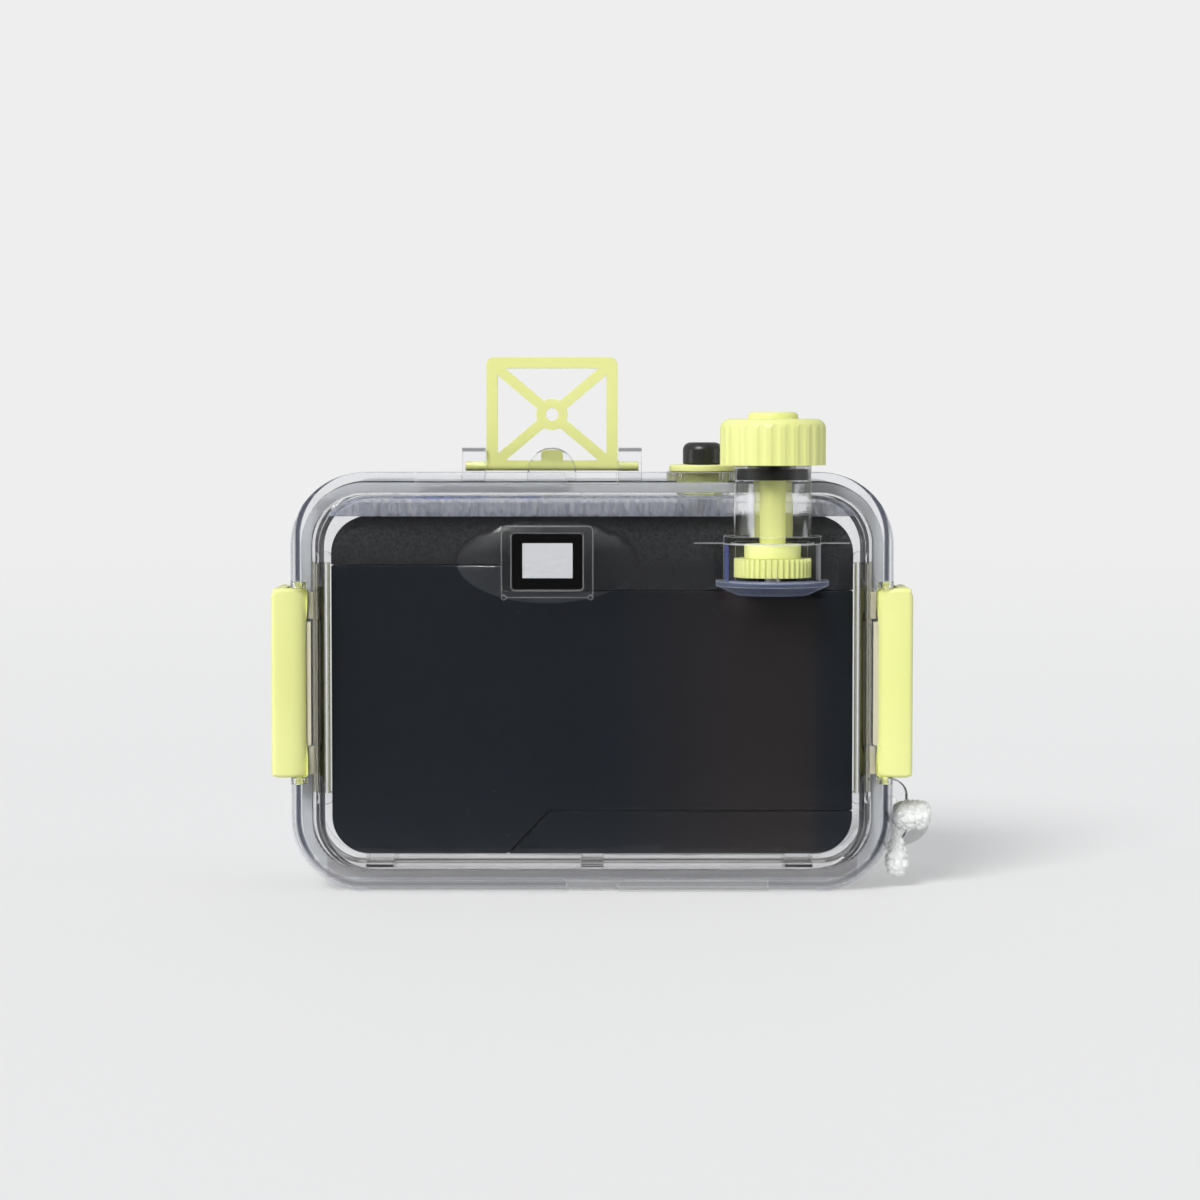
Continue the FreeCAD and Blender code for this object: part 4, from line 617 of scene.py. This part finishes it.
def dressed(node, name, material, body, edge=0.0, angle=30.0, steps=2, seat_gap=0.0):
    """A copy of a solid whose facets are merged, edges rounded by edge and curves smoothed.

    It rides on body and stands for the node. seat_gap lifts the faces that sit on the other half.
    """
    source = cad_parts[node]
    piece = bpy.data.objects.new(name, source.data.copy())
    bpy.context.scene.collection.objects.link(piece)
    only([piece])
    bpy.ops.object.mode_set(mode="EDIT")
    bpy.ops.mesh.select_all(action="SELECT")
    bpy.ops.mesh.remove_doubles(threshold=MERGE_WITHIN)
    bpy.ops.mesh.dissolve_limited(angle_limit=math.radians(FLAT_WITHIN))
    bpy.ops.object.mode_set(mode="OBJECT")
    for vertex in piece.data.vertices:
        if seat_gap and abs(vertex.co.y) < ON_SEAT:
            vertex.co.y -= seat_gap
    if edge:
        apply_modifier(piece, "BEVEL", width=edge, segments=steps, limit_method="ANGLE",
                       angle_limit=math.radians(angle), harden_normals=False, use_clamp_overlap=True)
    only([piece])
    bpy.ops.object.shade_smooth_by_angle(angle=math.radians(angle + SMOOTH_MARGIN))
    apply_modifier(piece, "WEIGHTED_NORMAL", mode="FACE_AREA", weight=100, keep_sharp=True)
    piece.data.materials.clear()
    piece.data.materials.append(material)
    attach(piece, body)
    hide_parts(node)
    return piece


def fill_bore(shaft):
    """The shaft swollen until it touches its bore, as grease does there."""
    for vertex in shaft.data.vertices:
        out = Vector((vertex.co.x - KNOB_AXIS[0], vertex.co.y - KNOB_AXIS[1]))
        if BORE_WALL[0] < out.length < BORE_WALL[1]:
            out = out.normalized() * SHAFT_IN_BORE
            vertex.co.x, vertex.co.y = KNOB_AXIS[0] + out.x, KNOB_AXIS[1] + out.y


def loosen(seal):
    """A hair of air between the seal and both halves, three times as much towards the front half."""
    for vertex in seal.data.vertices:
        front = vertex.co.y > SEAL_MIDDLE
        vertex.co.y += -3 * SEAL_AIR if front else SEAL_AIR


def cut_at(piece, place, normal):
    """Adds an edge loop where a plane meets the piece."""
    only([piece])
    bpy.ops.object.mode_set(mode="EDIT")
    bpy.ops.mesh.select_all(action="SELECT")
    bpy.ops.mesh.bisect(plane_co=place, plane_no=normal)
    bpy.ops.object.mode_set(mode="OBJECT")


def shaded_lemon_strip():
    """Strip under a latch's inner edge, coloured as the latch's lemon in painted shade."""
    f = Finish("lemon strip in painted shade")
    grain = f.noise(0.0006, detail=3.0)
    return f.done(f.surface(Base_Color=f.blend(grain, (0.60, 0.56, 0.42, 1), (0.66, 0.62, 0.47, 1)), Roughness=0.5,
                            Normal=f.bump(grain, 0.1, 0.00003)))


def finished_latch(piece, side, pad):
    """A latch with round outer corners, a sloping inner edge and the strip under it."""
    for k in range(LATCH_CUTS + 1):
        reach = LATCH_CORNER * (1 - math.sin(k * math.pi / 2 / LATCH_CUTS))
        cut_at(piece, (side * (LATCH_OUTER - reach), 0, 0), (1, 0, 0))
        cut_at(piece, (0, 0, LATCH_TOP - reach), (0, 0, 1))
        cut_at(piece, (0, 0, LATCH_BOTTOM + reach), (0, 0, 1))
    cut_at(piece, (side * (LATCH_INNER + LATCH_SLOPE), 0, 0), (1, 0, 0))
    middle = (LATCH_TOP + LATCH_BOTTOM) / 2
    half = (LATCH_TOP - LATCH_BOTTOM) / 2 - LATCH_CORNER
    for vertex in piece.data.vertices:
        across = abs(vertex.co.x) - (LATCH_OUTER - LATCH_CORNER)
        up = abs(vertex.co.z - middle) - half
        if across > 0 and up > 0:
            shrink = max(across, up) / math.hypot(across, up)
            vertex.co.x = side * (LATCH_OUTER - LATCH_CORNER + across * shrink)
            vertex.co.z = middle + math.copysign(half + up * shrink, vertex.co.z - middle)
        slope = LATCH_INNER + LATCH_SLOPE - abs(vertex.co.x)
        if slope > 0 and vertex.co.y < LATCH_FACE:
            vertex.co.y += LATCH_SLOPE_DROP * slope / LATCH_SLOPE
    bpy.ops.object.select_all(action="DESELECT")
    bpy.ops.mesh.primitive_cube_add(size=1.0)
    strip = bpy.context.object
    for vertex in strip.data.vertices:
        share = vertex.co + Vector((0.5, 0.5, 0.5))
        vertex.co = (side * (STRIP_REACH[0] + (STRIP_REACH[1] - STRIP_REACH[0]) * share.x),
                     STRIP_FRONT + (PAD_FRONT - STRIP_FRONT) * share.y,
                     LOW_PAD[1] + (HIGH_PAD[0] - LOW_PAD[1]) * share.z)
    # The strip takes the latch's lemon in painted shade
    strip.data.materials.append(pad)
    only([piece, strip])
    bpy.ops.object.join()
    bpy.ops.object.mode_set(mode="EDIT")
    bpy.ops.mesh.select_all(action="SELECT")
    bpy.ops.mesh.normals_make_consistent(inside=False)
    bpy.ops.object.mode_set(mode="OBJECT")
    only([piece])
    bpy.ops.object.shade_smooth_by_angle(angle=math.radians(30))


def settle_spring(spring):
    """Gives the button's spring a mesh of its own."""
    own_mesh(spring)


def shorten_pin(pin):
    """Leaves a hair of air over the pin at the end of its stroke."""
    top = max(vertex.co.z for vertex in pin.data.vertices)
    for vertex in pin.data.vertices:
        if vertex.co.z > top - PIN_ROOM:
            vertex.co.z -= PIN_ROOM


def place_camera():
    """The camera stands level behind the case, a little above it."""
    data = bpy.data.cameras.new("camera")
    data.sensor_width = 36.0
    data.lens = data.sensor_width * VIEW_DISTANCE / PICTURE_WIDTH
    data.clip_start = 0.01
    data.clip_end = 100.0
    camera = bpy.data.objects.new("camera", data)
    bpy.context.scene.collection.objects.link(camera)
    camera.location = (VIEW_MIDDLE.x, -VIEW_DISTANCE, VIEW_HEIGHT)
    camera.rotation_euler = (VIEW_MIDDLE - camera.location).to_track_quat("-Z", "Y").to_euler()
    bpy.context.scene.camera = camera


def sun(name, towards, softness, strength):
    """A lamp that shines one way; softness is its width in degrees."""
    data = bpy.data.lights.new(name, "SUN")
    data.angle = math.radians(softness)
    data.energy = strength
    lamp = bpy.data.objects.new(name, data)
    lamp.rotation_euler = Vector(towards).to_track_quat("-Z", "Y").to_euler()
    bpy.context.scene.collection.objects.link(lamp)


def light_studio():
    """Soft white light from above, behind and both sides; dark only where the photographer stands."""
    world = bpy.context.scene.world or bpy.data.worlds.new("studio")
    bpy.context.scene.world = world
    f = Finish.on(world)
    away = f.axis("Y", f.node("ShaderNodeTexCoord", out="Generated"))
    lit = f.blend(f.ramp(away, DARK_FROM, DARK_TO), grey(ROOM_DARK), LIGHT_COLOUR)
    passed = f.blend(f.ramp(away, NICHE_FROM, NICHE_TO), grey(ROOM_DIM), BACKGROUND)
    seen = f.blend(f.node("ShaderNodeLightPath", out="Is Transmission Ray"), lit, passed)
    colour = f.blend(f.node("ShaderNodeLightPath", out="Is Camera Ray"), seen, BACKGROUND)
    f.finish_world(f.node("ShaderNodeBackground", Color=colour, Strength=1.0))
    sun("key", KEY_TOWARDS, KEY_SOFTNESS, KEY_STRENGTH)
    for side in (-1, 1):
        sun("edge light", (side, *EDGE_TOWARDS), EDGE_SOFTNESS, EDGE_STRENGTH)


def lay_floor():
    """A round floor that fades into the background before its edge."""
    bpy.ops.object.select_all(action="DESELECT")
    bpy.ops.mesh.primitive_circle_add(vertices=96, radius=FLOOR_EDGE, fill_type="NGON", location=(0, 0, 0))
    floor = bpy.context.object
    floor.name = "floor"
    f = Finish("studio floor")
    here = f.place()
    distance = f.node("ShaderNodeVectorMath", {"operation": "LENGTH"}, out="Value", i0=here)
    mottle = f.noise(0.4)
    lit = f.surface(Base_Color=f.blend(mottle, grey(0.80), grey(0.81)), Roughness=0.7, Specular_IOR_Level=0.2)
    glow = f.node("ShaderNodeEmission", Color=FLOOR_GLOW, Strength=1.0)
    direct = f.node("ShaderNodeLightPath", out="Is Camera Ray")
    passed = f.node("ShaderNodeLightPath", out="Is Transmission Ray")
    seen = f.node("ShaderNodeMixShader", i0=direct.largest(passed) * FLOOR_GLOW_SHARE, i1=lit, i2=glow)
    gone = f.node("ShaderNodeBsdfTransparent")
    y = f.axis("Y", here)
    mirrored = f.node("ShaderNodeEmission", Color=f.blend(passed, grey(ROOM_DARK), grey(ROOM_DIM)), Strength=1.0)
    in_mirror = f.node("ShaderNodeLightPath", out="Is Glossy Ray") * f.ramp(y, MIRROR_FROM, MIRROR_TO)
    seen = f.node("ShaderNodeMixShader", i0=in_mirror, i1=seen, i2=mirrored)
    past = f.ramp(distance, FLOOR_FADE, FLOOR_EDGE).largest(f.ramp(y, FLOOR_NEAR, FLOOR_NEAR - FLOOR_NEAR_FADE))
    fade = f.node("ShaderNodeMixShader", i0=past, i1=seen, i2=gone)
    floor.data.materials.append(f.done(fade))


def hank_reach(k):
    """How far run k of the hank lies from its middle, in millimetres."""
    return HANK_INNER + (2 * HANK_LOOPS - 1 - k) * HANK_STEP


def hank_points():
    """Control points of the flat hank's half turns, 12 to a whole turn, with one before and one after each."""
    middle = HANK_FRONT + hank_reach(0)
    half_step = math.pi / HALF_TURN_STEPS / 2
    points = []
    y = HANK_FRONT
    for k in range(2 * HANK_LOOPS - 1):
        heading = -1 if k % 2 == 0 else 1
        end = HANK_RIGHT - HANK_RUN if heading < 0 else HANK_RIGHT
        after = middle - heading * hank_reach(k + 1)
        centre = (y + after) / 2
        radius = abs(after - y) / 2
        side = math.copysign(1, y - centre)
        outside = radius / math.cos(half_step)
        lead = heading * radius * math.tan(half_step)
        points.append((end - lead, y, CORD_FLOOR))
        for n in range(HALF_TURN_STEPS):
            sweep = (2 * n + 1) * half_step
            x = end + heading * outside * math.sin(sweep)
            points.append((x, centre + side * outside * math.cos(sweep), CORD_FLOOR))
        points.append((end - lead, after, CORD_FLOOR))
        y = after
    points.append((HANK_RIGHT, y, CORD_FLOOR))
    return points


def strap_line():
    """The strap: one smooth line from the knot, down and behind the case, and through its hank.

    Its points carry the cord's radius, so that the curve's box is the cord's own.
    """
    route = [*ROUTE, *hank_points()]
    curve = bpy.data.curves.new("strap", "CURVE")
    curve.dimensions = "3D"
    curve.bevel_depth = 1.0
    curve.bevel_resolution = 5
    curve.resolution_u = 12
    curve.use_fill_caps = True
    spline = curve.splines.new("NURBS")
    spline.points.add(len(route) - 1)
    for point, place in zip(spline.points, route):
        point.co = (*(value * MM for value in place), 1.0)
        point.radius = CORD_DIAMETER / 2
    spline.order_u = 3
    spline.use_endpoint_u = True
    piece = bpy.data.objects.new("strap", curve)
    bpy.context.scene.collection.objects.link(piece)
    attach(piece, "housing")
    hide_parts("strap_cord", "strap_hank")
    return piece


def crease(place):
    """How far a point of the knot's crumpled surface stands out, in millimetres."""
    near = noise.voronoi(place / CREASE_SIZE)[0]
    fine = noise.voronoi(place / (0.45 * CREASE_SIZE))[0]
    return CREASE_DEPTH * (min(near[1] - near[0], 0.5) + 0.35 * min(fine[1] - fine[0], 0.5) - 0.35)


def smooth_share(shape, t):
    """The radius at share t of the length, eased between the given ones."""
    for (t0, r0), (t1, r1) in zip(shape, shape[1:]):
        if t <= t1:
            part = (t - t0) / (t1 - t0)
            part = part * part * (3 - 2 * part)
            return r0 + (r1 - r0) * part
    return shape[-1][1]


def crumpled_body(start, end, radius_at):
    """A crumpled round body from start to end, shaped from a sphere of unit size."""
    start, end = Vector(start), Vector(end)
    axis = (end - start).normalized()
    side = axis.orthogonal().normalized()
    other = axis.cross(side)
    bpy.ops.object.select_all(action="DESELECT")
    bpy.ops.mesh.primitive_uv_sphere_add(segments=KNOT_AROUND, ring_count=KNOT_ALONG, radius=1.0)
    body = bpy.context.object
    for vertex in body.data.vertices:
        t = 0.5 - 0.5 * vertex.co.z
        flat = Vector((vertex.co.x, vertex.co.y))
        out = Vector((0, 0, 0))
        if flat.length > 0.0001:
            flat.normalize()
            out = side * flat.x + other * flat.y
        radius = radius_at(t)
        place = start.lerp(end, t) + out * radius
        vertex.co = (place + out * crease(place) * min(1.0, radius)) * MM
    return body


def loop_centre(turn):
    """The middle of the strand round the lug's bar at a turn from 0 to 1, and the way out from the bar."""
    x, y = math.cos(2 * math.pi * turn), math.sin(2 * math.pi * turn)
    reach = (abs(x) ** LOOP_SQUARE + abs(y) ** LOOP_SQUARE) ** (-1 / LOOP_SQUARE)
    out = Vector((x, y, 0))
    return Vector(LOOP_MIDDLE) + Vector((x * reach * LOOP_HALF[0], y * reach * LOOP_HALF[1], 0)), out


def loop_strand():
    """The strand through the lug's eye, shaped from a torus."""
    bpy.ops.object.select_all(action="DESELECT")
    bpy.ops.mesh.primitive_torus_add(major_segments=64, minor_segments=20, major_radius=1.0, minor_radius=0.25)
    body = bpy.context.object
    for vertex in body.data.vertices:
        turn = math.atan2(vertex.co.y, vertex.co.x) / (2 * math.pi)
        centre, out = loop_centre(turn)
        across = math.hypot(vertex.co.x, vertex.co.y) - 1.0
        vertex.co = (centre + (out * across + Vector((0, 0, vertex.co.z))) * 4 * LOOP_RADIUS) * MM
    return body


def strap_knot():
    """The crumpled glossy knot at the lug: strand through the eye, barrel of turns and drop-shaped end."""
    barrel = crumpled_body(BARREL_START, BARREL_END,
                           lambda t: BARREL_RADIUS * max(0.0, 1 - abs(2 * t - 1) ** 3.0) ** (1 / 3.0))
    tail = crumpled_body(TAIL_TOP, TAIL_FOOT, lambda t: smooth_share(TAIL_SHAPE, t))
    only([barrel, tail, loop_strand()])
    bpy.ops.object.join()
    bpy.ops.object.mode_set(mode="EDIT")
    bpy.ops.mesh.select_all(action="SELECT")
    bpy.ops.mesh.normals_make_consistent(inside=False)
    bpy.ops.object.mode_set(mode="OBJECT")
    bpy.ops.object.shade_smooth_by_angle(angle=math.radians(40))
    barrel.name = "strap_knot_turns"
    barrel.data.name = "strap_knot_turns"
    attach(barrel, "housing")
    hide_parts("strap_knot")
    return barrel


place_camera()
strap = strap_line()
knot = strap_knot()

clear = clear_case()
acrylic = finder_window()
lemon = yellow_plastic()
# Painted light: a copy of the lemon 1.18 times brighter for the shaft, which the clear boss keeps in shade
brightened_lemon = yellow_plastic("brightened lemon plastic", 1.18)
back_black = black_door()
top_black = black_grained()
frame_black = black_mask()
inner_black = black_plain()
rubber = black_rubber()
silicone = seal_white()
metal = steel()
cord_white = white_cord()
wrapped_white = crumpled_white()
band = paper_band()
shaded_lemon = shaded_lemon_strip()

strap.data.materials.append(cord_white)
knot.data.materials.append(wrapped_white)

dressed("front_shell", "case_front", clear, "housing", edge=0.00025)
dressed("rear_cover", "case_back", clear, "rear_half", edge=0.00025, seat_gap=0.00004)
for side, hand in ((-1, "left"), (1, "right")):
    lever = dressed("latch_" + hand, hand + "_latch_lever", lemon, hand + "_latch", edge=0.0004)
    finished_latch(lever, side, shaded_lemon)
loosen(dressed("main_seal", "case_seal", silicone, "rear_half"))
dressed("sight_frame", "folding_sight", lemon, "sight", edge=0.0003)
dressed("advance_knob", "film_knob", lemon, "advance", edge=0.0003)
# The shaft takes the lemon painted brighter, as painted light
fill_bore(dressed("advance_shaft", "knob_shaft", brightened_lemon, "advance", edge=0.0002))
dressed("drive_wheel", "drive_gear", lemon, "advance", edge=0.00008)
dressed("shutter_gland", "release_bush", lemon, "housing", edge=0.0003)
dressed("shutter_button", "release_button", rubber, "release", edge=0.0003)
settle_spring(dressed("shutter_spring", "release_spring", metal, "housing"))
dressed("shutter_pusher", "release_pusher", lemon, "release", edge=0.0001)
dressed("camera_back_door", "camera_back", back_black, "housing", edge=0.00025)
dressed("camera_bottom_cover", "camera_bottom", back_black, "housing", edge=0.0002)
dressed("camera_top_cover", "camera_top", top_black, "housing", edge=0.0002)
dressed("finder_mask", "eyepiece_mask", frame_black, "housing", edge=0.00015)
dressed("camera_front_cover", "camera_front", back_black, "housing", edge=0.0004)
shorten_pin(dressed("rewind_release", "rewind_pin", inner_black, "rewind_button"))
dressed("lens_barrel", "lens_mount", inner_black, "housing", edge=0.0002)

FINISHES = {
    "knob_seal": rubber, "shutter_seal": rubber, "shutter_plunger": metal,
    "wheel_screw": metal, "film_wheel": inner_black, "takeup_spool": inner_black,
    "finder_rear_glass": acrylic, "finder_front_glass": acrylic, "camera_chassis": inner_black,
    "sprocket": inner_black, "pressure_plate": inner_black, "pressure_spring": metal, "front_lens": acrylic,
    "rear_lens": acrylic, "shutter_blade": metal, "blade_pin": metal, "camera_button": inner_black,
    "counter_dial": inner_black, "rewind_knob": inner_black, "rewind_fork": inner_black,
    "strap_tie": band,
}
for node, material in FINISHES.items():
    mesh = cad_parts[node].data
    mesh.materials.clear()
    mesh.materials.append(material)

lay_floor()
light_studio()
bpy.context.scene.view_settings.view_transform = "Standard"
